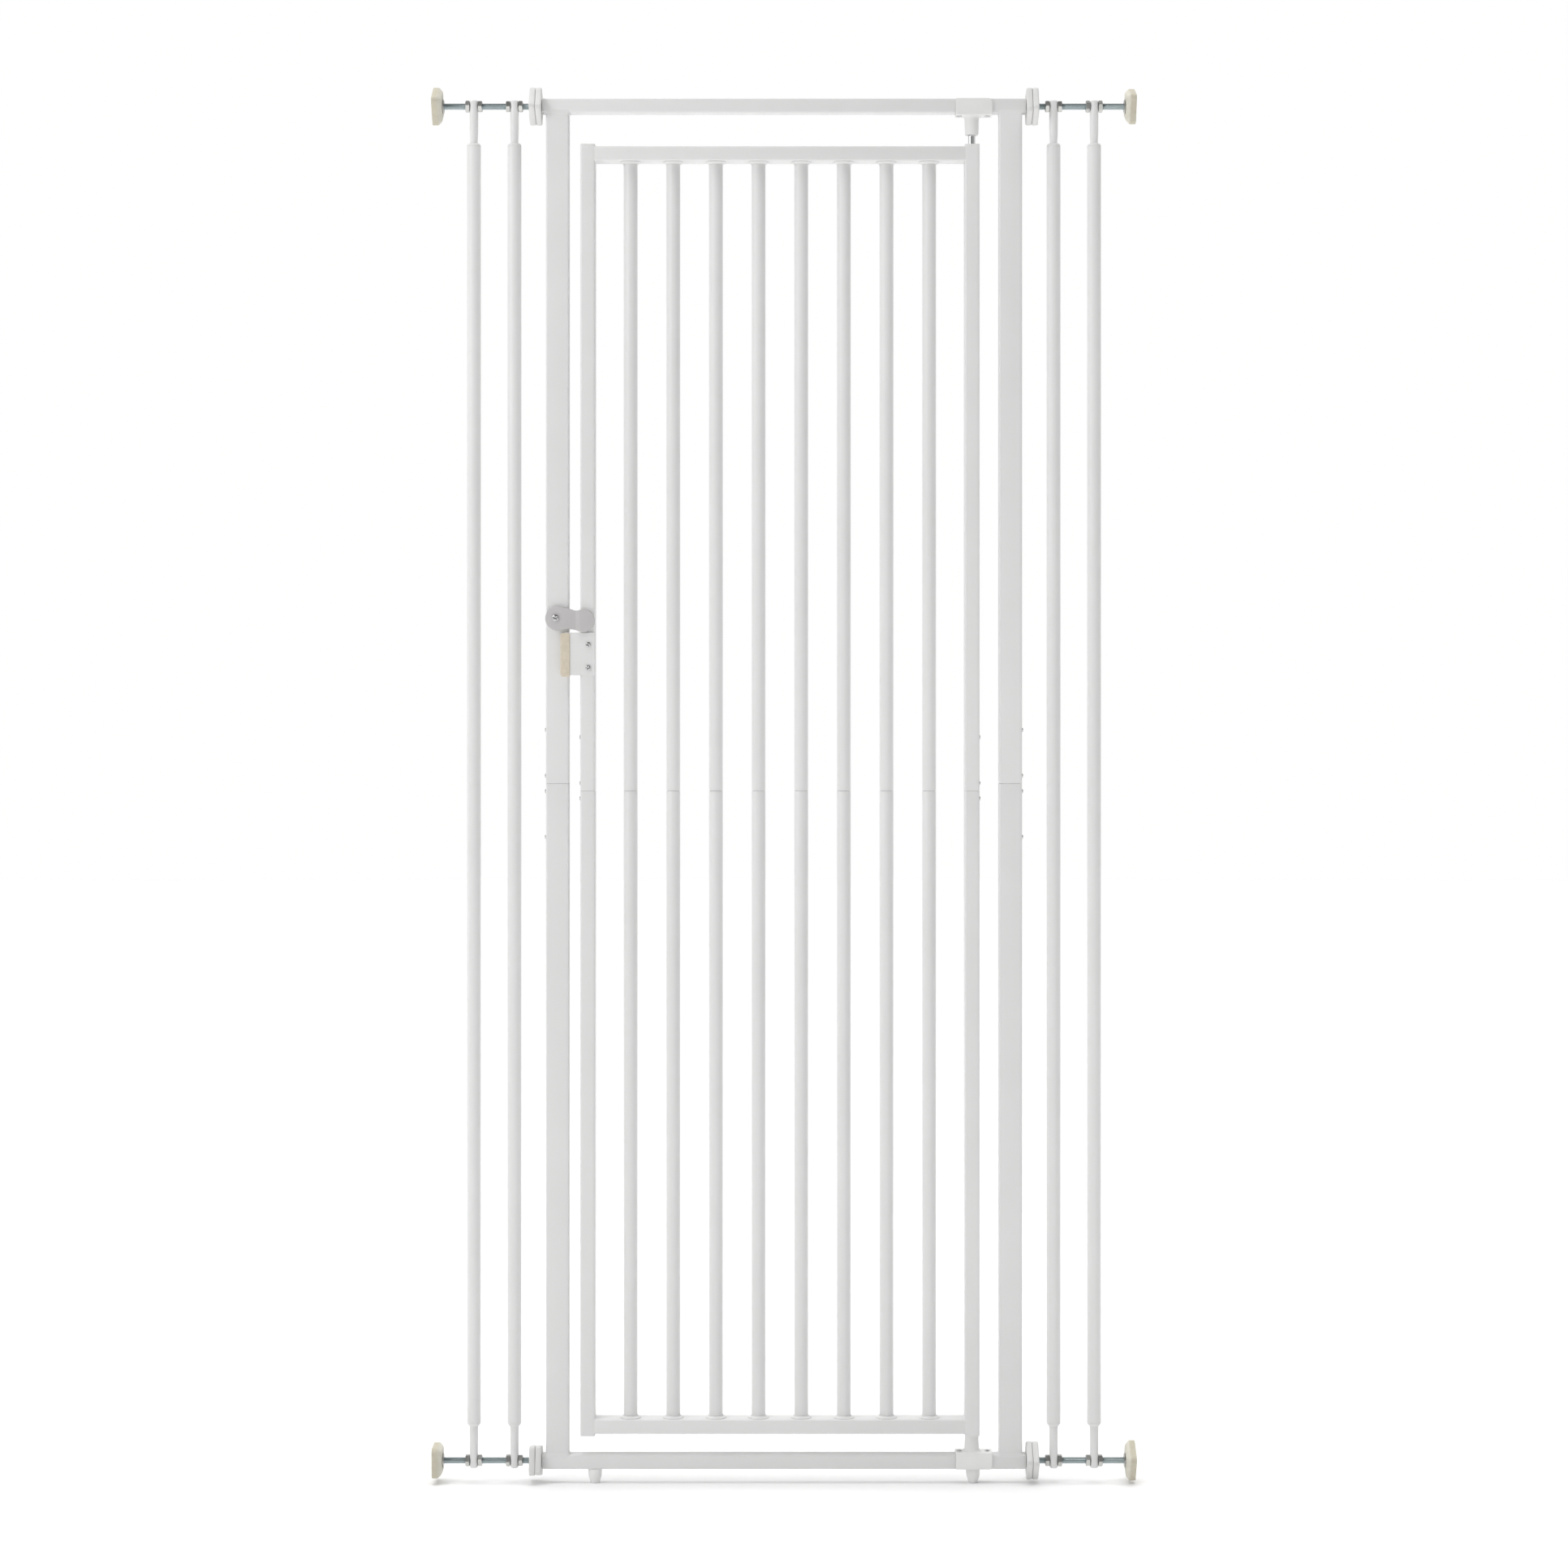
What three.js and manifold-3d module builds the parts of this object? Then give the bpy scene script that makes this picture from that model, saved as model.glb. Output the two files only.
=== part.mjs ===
// Tall pressure-fit walk-through safety gate.
// Millimetres, +Z up, X across the doorway, front of the gate towards -Y.
// Origin: on the floor, midway between the two walls and midway through the gate's depth.
//
// A two-part steel frame (two wide posts, a top rail and a bottom rail) is split at half height and
// joined by inner sleeves. A barred door hangs on two vertical pins at the right, and closes on a
// rubber-faced stop plate and a turning latch at the left. Each side carries two extension bars on two
// threaded rods; a hand wheel on each rod screws it out of the rail against the wall, and a second
// wheel locks the first.

import * as THREE from "three";
import { mergeVertices } from "three/addons/utils/BufferGeometryUtils.js";
import Module from "manifold-3d";

const wasm = await Module();
wasm.setup();

// ---------------------------------------------------------------- driving dimensions
const GAP = 0.3; // between pieces that touch

// frame
const RAIL = 18; // square rail section
const RAIL_END = 296.6; // half length of a rail
const TOP_RAIL_Z = 1697; // rail axes, and so the rods' axes
const BOTTOM_RAIL_Z = 27;
const POST_W = 28.5; // post section, across the doorway
const POST_D = 18; // and through it
const POST_X = 278.95; // post axis
const WALL = 1; // tube wall
const FRAME_SEAM_Z = 862;
const SLEEVE_HALF = 80; // joining sleeve, half length
const JOINT_SCREWS = [66, 9.6, -9.6, -66]; // above and below the seam
const FOOT_X = 233;

// door
const STILE_W = 18;
const STILE_D = 28;
const HINGE_X = 231.5; // hinge axis and hinge stile axis
const LATCH_STILE_X = -241.5;
const DOOR_BOTTOM = 59.3;
const DOOR_TOP = 1649.3;
const DOOR_SEAM_Z = 853;
const DOOR_RAIL_H = 18;
const DOOR_TOP_RAIL_Z = 1637.2; // rail axes
const DOOR_BOTTOM_RAIL_Z = 71.3;
const BAR_R = 8.5;
const BAR_WALL = 0.9;
const BAR_X0 = -189.2; // first bar
const BAR_PITCH = 52.6;
const BAR_COUNT = 8;
const BAR_IN = 8; // how far a bar reaches into a rail
const COLLAR_R = 12.75;
const COLLAR_H = 3;
const DOOR_SCREWS = [66, 9.4, -9.4];

// hinges
const PIN_R = 4.1;
const PIN_BORE_R = 4.5;
const UPPER_BOSS_Z = 1661.5; // lower end of the upper boss
const LOWER_BOSS_Z = 59; // upper end of the lower boss
const BRACKET_X0 = 211.5;
const BRACKET_X1 = 256.5;
const BRACKET_D = 12; // half depth

// latch and stop
const PIVOT = new THREE.Vector2(-281, 1066);
const LOBE_A = new THREE.Vector3(-278.7, 1065.3, 15); // x, z, radius
const LOBE_B = new THREE.Vector3(-246.7, 1063, 14.6);
const STOP_X0 = -263;
const STOP_X1 = -232.3;
const STOP_Z0 = 995.3;
const STOP_Z1 = 1047.8;
const STOP_SCREW_X = -240.6;
const STOP_SCREW_Z = [1032.9, 1004.5];

// sides
const ROD_R = 4; // M8
const ROD_IN = 225; // inner end, inside the rail
const ROD_OUT = 426.8; // outer end, inside the pad
const NUT_AF = 13;
const NUT_H = 5;
const SIDE_BAR_X = [332.5, 382.5];
const SIDE_BAR_R = 8.5;
const SIDE_BAR_Z = [70.5, 1650];
const NECK_W = 10;
const NECK_D = 14;
const NECK_Z = [18, 1704.5];
const WHEEL = 36; // across flats
const WHEEL_R = 5.2; // corner radius
const WHEEL_T = 7.3;
const WHEEL_X = 298.4; // inner face of the adjusting wheel
const LOCK_X = 306.2; // inner face of the lock wheel
const WHEEL_BORE_R = 4.6;
const PAD = 38;
const PAD_R = 6;
const PAD_X = 433; // outer face
const PAD_RIM = 8;
const PAD_T = 12;

// ---------------------------------------------------------------- helpers
// Keeps only positions, merges shared vertices and turns the faces outward.
function closed(geometry) {
  const g = geometry.index ? geometry.toNonIndexed() : geometry.clone();
  const bare = new THREE.BufferGeometry().setAttribute(
    "position",
    g.getAttribute("position"),
  );
  const m = mergeVertices(bare, 1e-3);
  const p = m.attributes.position;
  const keep = [];
  const a = new THREE.Vector3();
  const b = new THREE.Vector3();
  const c = new THREE.Vector3();
  let volume = 0;
  for (let i = 0; i < m.index.count; i += 3) {
    const [i0, i1, i2] = [m.index.getX(i), m.index.getX(i + 1), m.index.getX(i + 2)];
    if (i0 === i1 || i1 === i2 || i2 === i0) continue;
    keep.push(i0, i1, i2);
    a.fromBufferAttribute(p, i0);
    b.fromBufferAttribute(p, i1);
    c.fromBufferAttribute(p, i2);
    volume += a.dot(b.cross(c));
  }
  if (volume < 0)
    for (let i = 0; i < keep.length; i += 3)
      [keep[i + 1], keep[i + 2]] = [keep[i + 2], keep[i + 1]];
  m.setIndex(keep);
  return m;
}

function solid(geometry) {
  const g = closed(geometry);
  return new wasm.Manifold(
    new wasm.Mesh({
      numProp: 3,
      vertProperties: new Float32Array(g.attributes.position.array),
      triVerts: new Uint32Array(g.index.array),
    }),
  );
}

function geometryOf(manifold) {
  const m = manifold.getMesh();
  const v = new Float32Array(m.numVert * 3);
  for (let i = 0; i < m.numVert; i++)
    v.set(m.vertProperties.subarray(i * m.numProp, i * m.numProp + 3), i * 3);
  return new THREE.BufferGeometry()
    .setAttribute("position", new THREE.BufferAttribute(v, 3))
    .setIndex(new THREE.BufferAttribute(new Uint32Array(m.triVerts), 1));
}

// A rounded rectangle centred on the origin.
function roundedRect(w, h, r, target = new THREE.Shape()) {
  const x = w / 2 - r;
  const y = h / 2 - r;
  target.absarc(x, y, r, 0, Math.PI / 2);
  target.absarc(-x, y, r, Math.PI / 2, Math.PI);
  target.absarc(-x, -y, r, Math.PI, 1.5 * Math.PI);
  target.absarc(x, -y, r, 1.5 * Math.PI, 2 * Math.PI);
  return target;
}

function extrude(shape, depth, curveSegments = 2) {
  return new THREE.ExtrudeGeometry(shape, {
    depth,
    bevelEnabled: false,
    curveSegments,
    steps: 1,
  });
}

// A rectangular tube along Z, from z0 to z1.
function tubeZ(w, d, r, wall, z0, z1) {
  const s = roundedRect(w, d, r);
  if (wall)
    s.holes.push(
      roundedRect(w - 2 * wall, d - 2 * wall, Math.max(r - wall, 0.6), new THREE.Path()),
    );
  return extrude(s, z1 - z0).translate(0, 0, z0);
}

// The same along X: w is its height and d its depth.
function tubeX(h, d, r, wall, x0, x1) {
  return tubeZ(h, d, r, wall, x0, x1).rotateY(Math.PI / 2);
}

// A solid of revolution about Z from [radius, z] pairs.
function turned(profile, segments = 16) {
  return new THREE.LatheGeometry(
    profile.map(([r, z]) => new THREE.Vector2(r, z)),
    segments,
  ).rotateX(Math.PI / 2);
}

function rod(r, z0, z1, segments = 12) {
  return turned(
    [
      [0, z0],
      [r, z0],
      [r, z1],
      [0, z1],
    ],
    segments,
  );
}
const rodX = (r, x0, x1, segments) => rod(r, x0, x1, segments).rotateY(Math.PI / 2);
const rodY = (r, y0, y1, segments) => rod(r, y0, y1, segments).rotateX(-Math.PI / 2);

function box(x0, x1, y0, y1, z0, z1) {
  return new THREE.BoxGeometry(x1 - x0, y1 - y0, z1 - z0).translate(
    (x0 + x1) / 2,
    (y0 + y1) / 2,
    (z0 + z1) / 2,
  );
}

// Rings of points, each a convex outline with the same count, skinned and capped.
function loft(rings) {
  const n = rings[0].length;
  const p = [];
  const tri = [];
  rings.forEach((ring) => ring.forEach((v) => p.push(v.x, v.y, v.z)));
  for (let k = 0; k + 1 < rings.length; k++)
    for (let i = 0; i < n; i++) {
      const j = (i + 1) % n;
      const [a, b, c, d] = [k * n + i, k * n + j, (k + 1) * n + j, (k + 1) * n + i];
      tri.push(a, b, c, a, c, d);
    }
  const last = (rings.length - 1) * n;
  for (let i = 1; i + 1 < n; i++) {
    tri.push(0, i + 1, i);
    tri.push(last, last + i, last + i + 1);
  }
  return new THREE.BufferGeometry()
    .setAttribute("position", new THREE.Float32BufferAttribute(p, 3))
    .setIndex(tri);
}

// A rounded square's outline in the YZ plane at x, turned about X.
function squareRing(side, r, x, roll, segments = 2) {
  return roundedRect(side, side, r)
    .getPoints(segments)
    .filter((p, i, all) => i === 0 || p.distanceTo(all[i - 1]) > 1e-4)
    .filter((p, i, all) => i === 0 || p.distanceTo(all[0]) > 1e-4)
    .map((p) => new THREE.Vector3(x, p.x, p.y).applyAxisAngle(new THREE.Vector3(1, 0, 0), roll));
}

// ---------------------------------------------------------------- finishes
const finish = (color, roughness, metalness) =>
  new THREE.MeshStandardMaterial({ color, roughness, metalness });
const white = () => finish(0xececea, 0.38, 0.0);
const whitePlastic = () => finish(0xe9e9e6, 0.45, 0.0);
const greyPlastic = () => finish(0xbdbbbb, 0.5, 0.0);
const cream = () => finish(0xe6e0cf, 0.75, 0.0);
const beige = () => finish(0xcfc5b2, 0.7, 0.0);
const zinc = () => finish(0x9fabb0, 0.32, 0.9);
const chrome = () => finish(0xd5d8da, 0.12, 1.0);

const gate = new THREE.Group();
gate.name = "safety_gate";
const frameGroup = new THREE.Group();
const doorGroup = new THREE.Group();
gate.add(frameGroup, doorGroup);

function add(parent, name, geometry, material) {
  const mesh = new THREE.Mesh(closed(geometry), material);
  mesh.name = name;
  parent.add(mesh);
  return mesh;
}

// ---------------------------------------------------------------- frame tubes
// Rails run right across and hold the rods; posts stand between them.
{
  const top = tubeX(RAIL, POST_D, 2.5, WALL, -RAIL_END, RAIL_END).translate(0, 0, TOP_RAIL_Z);
  add(frameGroup, "top_rail", top, white());

  let bottom = solid(
    tubeX(RAIL, POST_D, 2.5, WALL, -RAIL_END, RAIL_END).translate(0, 0, BOTTOM_RAIL_Z),
  );
  for (const x of [-FOOT_X, FOOT_X])
    bottom = bottom.subtract(solid(rod(4.3, 10, 22, 12).translate(x, 0, 0)));
  add(frameGroup, "bottom_rail", geometryOf(bottom), white());
}

const postFloor = BOTTOM_RAIL_Z + RAIL / 2 + GAP;
const postCeiling = TOP_RAIL_Z - RAIL / 2 - GAP;
for (const side of [-1, 1]) {
  const label = side < 0 ? "left" : "right";
  const outer = side * (POST_X + POST_W / 2); // outer face
  const screwHole = (z) =>
    solid(rodX(2.5, outer - 3, outer + 3, 8).translate(0, 0, z));

  let upper = solid(
    tubeZ(POST_W, POST_D, 2.5, WALL, FRAME_SEAM_Z + 0.25, postCeiling).translate(side * POST_X, 0, 0),
  );
  let lower = solid(
    tubeZ(POST_W, POST_D, 2.5, WALL, postFloor, FRAME_SEAM_Z - 0.25).translate(side * POST_X, 0, 0),
  );
  let sleeve = solid(
    tubeZ(
      POST_W - 2 * WALL - 2 * GAP,
      POST_D - 2 * WALL - 2 * GAP,
      1.2,
      1.5,
      FRAME_SEAM_Z - SLEEVE_HALF,
      FRAME_SEAM_Z + SLEEVE_HALF,
    ).translate(side * POST_X, 0, 0),
  );
  for (const dz of JOINT_SCREWS) {
    const z = FRAME_SEAM_Z + dz;
    if (dz > 0) upper = upper.subtract(screwHole(z));
    else lower = lower.subtract(screwHole(z));
    const [a, b] = [outer - side * 2.6, outer + side * 0.6].sort((p, q) => p - q);
    const [c, d] = [outer + side * GAP, outer + side * 1.9].sort((p, q) => p - q);
    sleeve = sleeve
      .add(solid(rodX(1.9, a, b, 6).translate(0, 0, z)))
      .add(solid(rodX(2.7, c, d, 8).translate(0, 0, z)));
  }
  if (side < 0)
    upper = upper.subtract(
      solid(rodY(2.75, -POST_D / 2 - 2, -POST_D / 2 + 3, 12).translate(PIVOT.x, 0, PIVOT.y)),
    );
  add(frameGroup, `post_${label}_upper`, geometryOf(upper), white());
  add(frameGroup, `post_${label}_lower`, geometryOf(lower), white());
  add(frameGroup, `post_joiner_${label}`, geometryOf(sleeve), zinc());
}

// Plastic bushes plug the rail ends, guide the rods and take the wheels' thrust.
for (const side of [-1, 1])
  for (const [level, z] of [
    ["top", TOP_RAIL_Z],
    ["bottom", BOTTOM_RAIL_Z],
  ]) {
    const plug = RAIL - 2 * WALL - 2 * GAP - 0.5;
    const span = [side * (RAIL_END - 24), side * (RAIL_END + 0.9)].sort((a, b) => a - b);
    const flange = [side * (RAIL_END + GAP), side * (RAIL_END + 1.5)].sort((a, b) => a - b);
    const bush = solid(box(...span, -plug / 2, plug / 2, -plug / 2, plug / 2))
      .add(solid(tubeX(RAIL - 0.4, POST_D - 0.4, 2.3, 0, ...flange)))
      .subtract(
        solid(rodX(4.6, ...[side * (RAIL_END - 30), side * (RAIL_END + 6)].sort((a, b) => a - b), 10)),
      )
      .translate([0, 0, z]);
    add(
      frameGroup,
      `rail_bush_${level}_${side < 0 ? "left" : "right"}`,
      geometryOf(bush),
      whitePlastic(),
    );
  }

// Tapered feet, each with a short stem in the bottom rail.
for (const [label, x] of [
  ["left", -FOOT_X],
  ["right", FOOT_X],
])
  add(
    frameGroup,
    `foot_${label}`,
    turned(
      [
        [0, 0],
        [5.4, 0],
        [6.9, 2.2],
        [8.2, 7.2],
        [8.8, BOTTOM_RAIL_Z - RAIL / 2 - GAP],
        [3.9, BOTTOM_RAIL_Z - RAIL / 2 - GAP],
        [3.9, 22.5],
        [0, 22.5],
      ],
      12,
    ).translate(x, 0, 0),
    whitePlastic(),
  );

// ---------------------------------------------------------------- hinge brackets
// A saddle grips the rail, and a boss under or over it takes the door's pin. up = -1 hangs the boss.
function hingeBracket(railZ, up, bossEnd, screwX) {
  const inner = railZ + (up * RAIL) / 2 + up * GAP; // flange face on the rail
  const outer = inner + up * 2.4;
  const far = railZ - (up * RAIL) / 2 + up * 0.3; // cheek's far edge, flush with the rail
  const lo = Math.min(inner, outer);
  const hi = Math.max(inner, outer);
  // Cheeks: straight at the left end, a large round at the far right corner.
  const cheek = new THREE.Shape();
  const R = 7;
  cheek.moveTo(BRACKET_X0, outer);
  cheek.lineTo(BRACKET_X1, outer);
  cheek.lineTo(BRACKET_X1, far + up * R);
  cheek.absarc(BRACKET_X1 - R, far + up * R, R, 0, (-up * Math.PI) / 2, up > 0);
  cheek.lineTo(BRACKET_X0, far);
  cheek.lineTo(BRACKET_X0, outer);
  const plate = (y0, y1) =>
    solid(
      extrude(cheek, y1 - y0, 3)
        .rotateX(Math.PI / 2)
        .translate(0, y1, 0),
    );
  const boss = turned(
    [
      [0, outer - up * 1.2],
      [10.6, outer - up * 1.2],
      [10.6, outer],
      [8.8, outer + up * 2.6],
      [8.2, bossEnd - up * 0.6],
      [7.7, bossEnd],
      [0, bossEnd],
    ],
    14,
  ).translate(HINGE_X, 0, 0);
  const bore = [bossEnd + up * 4, inner + up * 2.9].sort((a, b) => a - b);
  let bracket = solid(box(BRACKET_X0, BRACKET_X1, -BRACKET_D, BRACKET_D, lo, hi))
    .add(plate(-BRACKET_D, -POST_D / 2 - GAP))
    .add(plate(POST_D / 2 + GAP, BRACKET_D))
    .add(solid(boss))
    .subtract(solid(rod(PIN_BORE_R, ...bore, 12).translate(HINGE_X, 0, 0)));
  for (const x of screwX)
    bracket = bracket.add(
      solid(
        turned(
          [
            [0, outer - up * 0.6],
            [3.2, outer - up * 0.6],
            [2.4, outer + up * 1.2],
            [0, outer + up * 1.2],
          ],
          8,
        ).translate(x, 0, 0),
      ),
    );
  return geometryOf(bracket);
}
add(
  frameGroup,
  "hinge_bracket_upper",
  hingeBracket(TOP_RAIL_Z, -1, UPPER_BOSS_Z, [216, 250.5]),
  whitePlastic(),
);
add(
  frameGroup,
  "hinge_bracket_lower",
  hingeBracket(BOTTOM_RAIL_Z, 1, LOWER_BOSS_Z, [216, 250.5]),
  whitePlastic(),
);

// ---------------------------------------------------------------- latch
// A dumbbell lever on a shouldered screw in the left post; its far lobe steps forward over the stile.
{
  const N = 20;
  const circle = (l, from, to, n = N) => {
    const out = [];
    for (let i = 0; i <= n; i++) {
      const t = from + ((to - from) * i) / n;
      out.push(new THREE.Vector2(l.x + l.z * Math.cos(t), l.y + l.z * Math.sin(t)));
    }
    return out;
  };
  const deg = Math.PI / 180;
  // Far lobe with its lower corner cut, neck 23 high, near lobe.
  const outline = [
    ...circle(LOBE_B, -118 * deg, -78 * deg, 3),
    ...circle(LOBE_B, -32 * deg, 112 * deg, 9),
    new THREE.Vector2(-256, 1076),
    new THREE.Vector2(-263, 1078.6),
    ...circle(LOBE_A, 78 * deg, 282 * deg, 13),
    new THREE.Vector2(-264, 1053),
    new THREE.Vector2(-255, 1052.4),
  ];
  const front = extrude(new THREE.Shape(outline), 12).rotateX(Math.PI / 2).translate(0, -8, 0);
  // The side profile seen from above: flat on the post, a jog, flat in front of the stile.
  const profile = new THREE.Shape(
    [
      [-300, -9.4],
      [-258.4, -9.4],
      [-253.2, -14.4],
      [-225, -14.4],
      [-225, -18.8],
      [-250.9, -18.8],
      [-256.2, -13.9],
      [-300, -13.9],
    ].map(([x, y]) => new THREE.Vector2(x, y)),
  );
  const side = extrude(profile, 60).translate(0, 0, 1036);
  const lever = solid(front)
    .intersect(solid(side))
    .subtract(solid(rodY(2.75, -30, 0, 14).translate(PIVOT.x, 0, PIVOT.y)));
  add(gate, "latch_lever", geometryOf(lever), greyPlastic());

  add(
    frameGroup,
    "latch_pivot_screw",
    turned(
      [
        [0, 5],
        [2.35, 5],
        [2.35, 14.2],
        [4.3, 14.2],
        [4.3, 15.2],
        [3.2, 16.6],
        [0, 17.1],
      ],
      16,
    )
      .rotateX(Math.PI / 2)
      .translate(PIVOT.x, 0, PIVOT.y),
    zinc(),
  );
}

// ---------------------------------------------------------------- door
const doorEnd = { upper: DOOR_TOP, lower: DOOR_BOTTOM };
for (const [label, x, side] of [
  ["latch", LATCH_STILE_X, -1],
  ["hinge", HINGE_X, 1],
]) {
  const outer = x + (side * STILE_W) / 2;
  let sleeve = solid(
    tubeZ(
      STILE_W - 2 * WALL - 2 * GAP,
      STILE_D - 2 * WALL - 2 * GAP,
      1.2,
      1.5,
      DOOR_SEAM_Z - SLEEVE_HALF,
      DOOR_SEAM_Z + SLEEVE_HALF,
    ).translate(x, 0, 0),
  );
  const halves = {};
  for (const half of ["upper", "lower"]) {
    const end = doorEnd[half];
    const [z0, z1] = half === "upper" ? [DOOR_SEAM_Z + 0.25, end] : [end, DOOR_SEAM_Z - 0.25];
    const cap = half === "upper" ? [z1 - 2.5, z1] : [z0, z0 + 2.5];
    let s = solid(tubeZ(STILE_W, STILE_D, 2.5, WALL, z0, z1))
      .add(solid(tubeZ(STILE_W - 1, STILE_D - 1, 2, 0, ...cap)))
      .translate([x, 0, 0]);
    if (label === "hinge")
      s = s.subtract(solid(rod(4.4, cap[0] - 4, cap[1] + 4, 12).translate(x, 0, 0)));
    halves[half] = s;
  }
  for (const dz of DOOR_SCREWS) {
    const z = DOOR_SEAM_Z + dz;
    const half = dz > 0 ? "upper" : "lower";
    halves[half] = halves[half].subtract(
      solid(rodX(2.5, outer - 3, outer + 3, 8).translate(0, 0, z)),
    );
    const [a, b] = [outer - side * 2.6, outer + side * 0.6].sort((p, q) => p - q);
    const [c, d] = [outer + side * GAP, outer + side * 1.9].sort((p, q) => p - q);
    sleeve = sleeve
      .add(solid(rodX(1.9, a, b, 6).translate(0, 0, z)))
      .add(solid(rodX(2.7, c, d, 8).translate(0, 0, z)));
  }
  if (label === "latch")
    for (const z of STOP_SCREW_Z)
      halves.upper = halves.upper.subtract(
        solid(rodY(2.3, -STILE_D / 2 - 2, -STILE_D / 2 + 3, 10).translate(STOP_SCREW_X, 0, z)),
      );
  add(doorGroup, `door_stile_${label}_upper`, geometryOf(halves.upper), white());
  add(doorGroup, `door_stile_${label}_lower`, geometryOf(halves.lower), white());
  add(doorGroup, `stile_joiner_${label}`, geometryOf(sleeve), zinc());
}

// Rails between the stiles, punched for the bars, each hole with a raised collar.
const barX = Array.from({ length: BAR_COUNT }, (_, i) => BAR_X0 + i * BAR_PITCH);
for (const [label, z, face] of [
  ["top", DOOR_TOP_RAIL_Z, -1],
  ["bottom", DOOR_BOTTOM_RAIL_Z, 1],
]) {
  const edge = z + (face * DOOR_RAIL_H) / 2;
  let rail = solid(
    tubeX(
      DOOR_RAIL_H,
      STILE_D,
      2.5,
      WALL,
      LATCH_STILE_X + STILE_W / 2 + GAP,
      HINGE_X - STILE_W / 2 - GAP,
    ).translate(0, 0, z),
  );
  for (const x of barX) {
    const collar = turned(
      [
        [0, edge - face * 0.6],
        [COLLAR_R, edge - face * 0.6],
        [COLLAR_R - 2.4, edge + face * COLLAR_H],
        [0, edge + face * COLLAR_H],
      ],
      12,
    ).translate(x, 0, 0);
    const hole = [edge - face * 3, edge + face * 6].sort((a, b) => a - b);
    rail = rail
      .add(solid(collar))
      .subtract(solid(rod(BAR_R + 0.6, ...hole, 12).translate(x, 0, 0)));
  }
  add(doorGroup, `door_${label}_rail`, geometryOf(rail), white());
}

barX.forEach((x, i) => {
  const z0 = DOOR_BOTTOM_RAIL_Z + DOOR_RAIL_H / 2 - BAR_IN;
  const z1 = DOOR_TOP_RAIL_Z - DOOR_RAIL_H / 2 + BAR_IN;
  add(
    doorGroup,
    `door_bar_${i + 1}`,
    turned(
      [
        [BAR_R - BAR_WALL, z0],
        [BAR_R, z0],
        [BAR_R, z1],
        [BAR_R - BAR_WALL, z1],
        [BAR_R - BAR_WALL, z0],
      ],
      12,
    ).translate(x, 0, 0),
    white(),
  );
});

add(
  doorGroup,
  "hinge_pin_upper",
  turned(
    [
      [0, 1632],
      [PIN_R, 1632],
      [PIN_R, 1676.2],
      [PIN_R - 1.2, 1677.8],
      [0, 1677.8],
    ],
    14,
  ).translate(HINGE_X, 0, 0),
  chrome(),
);
add(
  doorGroup,
  "hinge_pin_lower",
  turned(
    [
      [0, 42],
      [PIN_R - 1.2, 42],
      [PIN_R, 43.6],
      [PIN_R, 78],
      [0, 78],
    ],
    14,
  ).translate(HINGE_X, 0, 0),
  chrome(),
);

// Stop plate on the latch stile. Its tongue holds a rubber buffer that closes on the post's front.
{
  const y0 = -STILE_D / 2 - 2.4;
  const y1 = -STILE_D / 2 - GAP;
  let plate = solid(box(STOP_X0 - 7, STOP_X1, y0, y1, STOP_Z0, STOP_Z1));
  for (const z of STOP_SCREW_Z)
    plate = plate.subtract(solid(rodY(2.3, y0 - 3, y1 + 3, 12).translate(STOP_SCREW_X, 0, z)));
  add(doorGroup, "stop_plate", geometryOf(plate), white());

  const section = new THREE.Shape();
  const [bx0, bx1, bz0, bz1] = [-274.7, STOP_X0 - 0.2, 993.5, 1047.1];
  section.moveTo(bx1, bz0);
  section.lineTo(bx1, bz1);
  section.lineTo(bx0 + 3.5, bz1);
  section.absarc(bx0 + 3.5, bz1 - 3.5, 3.5, Math.PI / 2, Math.PI);
  section.absarc(bx0 + 3.5, bz0 + 3.5, 3.5, Math.PI, 1.5 * Math.PI);
  section.lineTo(bx1, bz0);
  const buffer = solid(
    extrude(section, 8.4, 3)
      .rotateX(Math.PI / 2)
      .translate(0, -POST_D / 2 - 0.4, 0),
  ).subtract(solid(box(STOP_X0 - 7 - GAP, STOP_X0 + 4, y0 - GAP, y1 + GAP, STOP_Z0 - 5, STOP_Z1 + 5)));
  add(doorGroup, "stop_buffer", geometryOf(buffer), beige());

  STOP_SCREW_Z.forEach((z, i) =>
    add(
      doorGroup,
      `stop_screw_${i === 0 ? "upper" : "lower"}`,
      turned(
        [
          [0, 8],
          [1.95, 8],
          [1.95, 16.7],
          [3.5, 16.7],
          [3.5, 17.5],
          [2.6, 18.6],
          [0, 19],
        ],
        14,
      )
        .rotateX(Math.PI / 2)
        .translate(STOP_SCREW_X, 0, z),
      zinc(),
    ),
  );
}

// ---------------------------------------------------------------- sides
// Rolls of the wheels and pads about their rods, in degrees: adjusting wheel, lock wheel, pad.
const ROLL = {
  top_left: [56, 54, 33.5],
  bottom_left: [-13.3, -10, 2],
  top_right: [-26, -30, 23.4],
  bottom_right: [-50, -47, -58.3],
};
const LEVELS = [
  ["top", TOP_RAIL_Z],
  ["bottom", BOTTOM_RAIL_Z],
];
const outward = (side, a, b) => [side * a, side * b].sort((p, q) => p - q);

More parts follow.
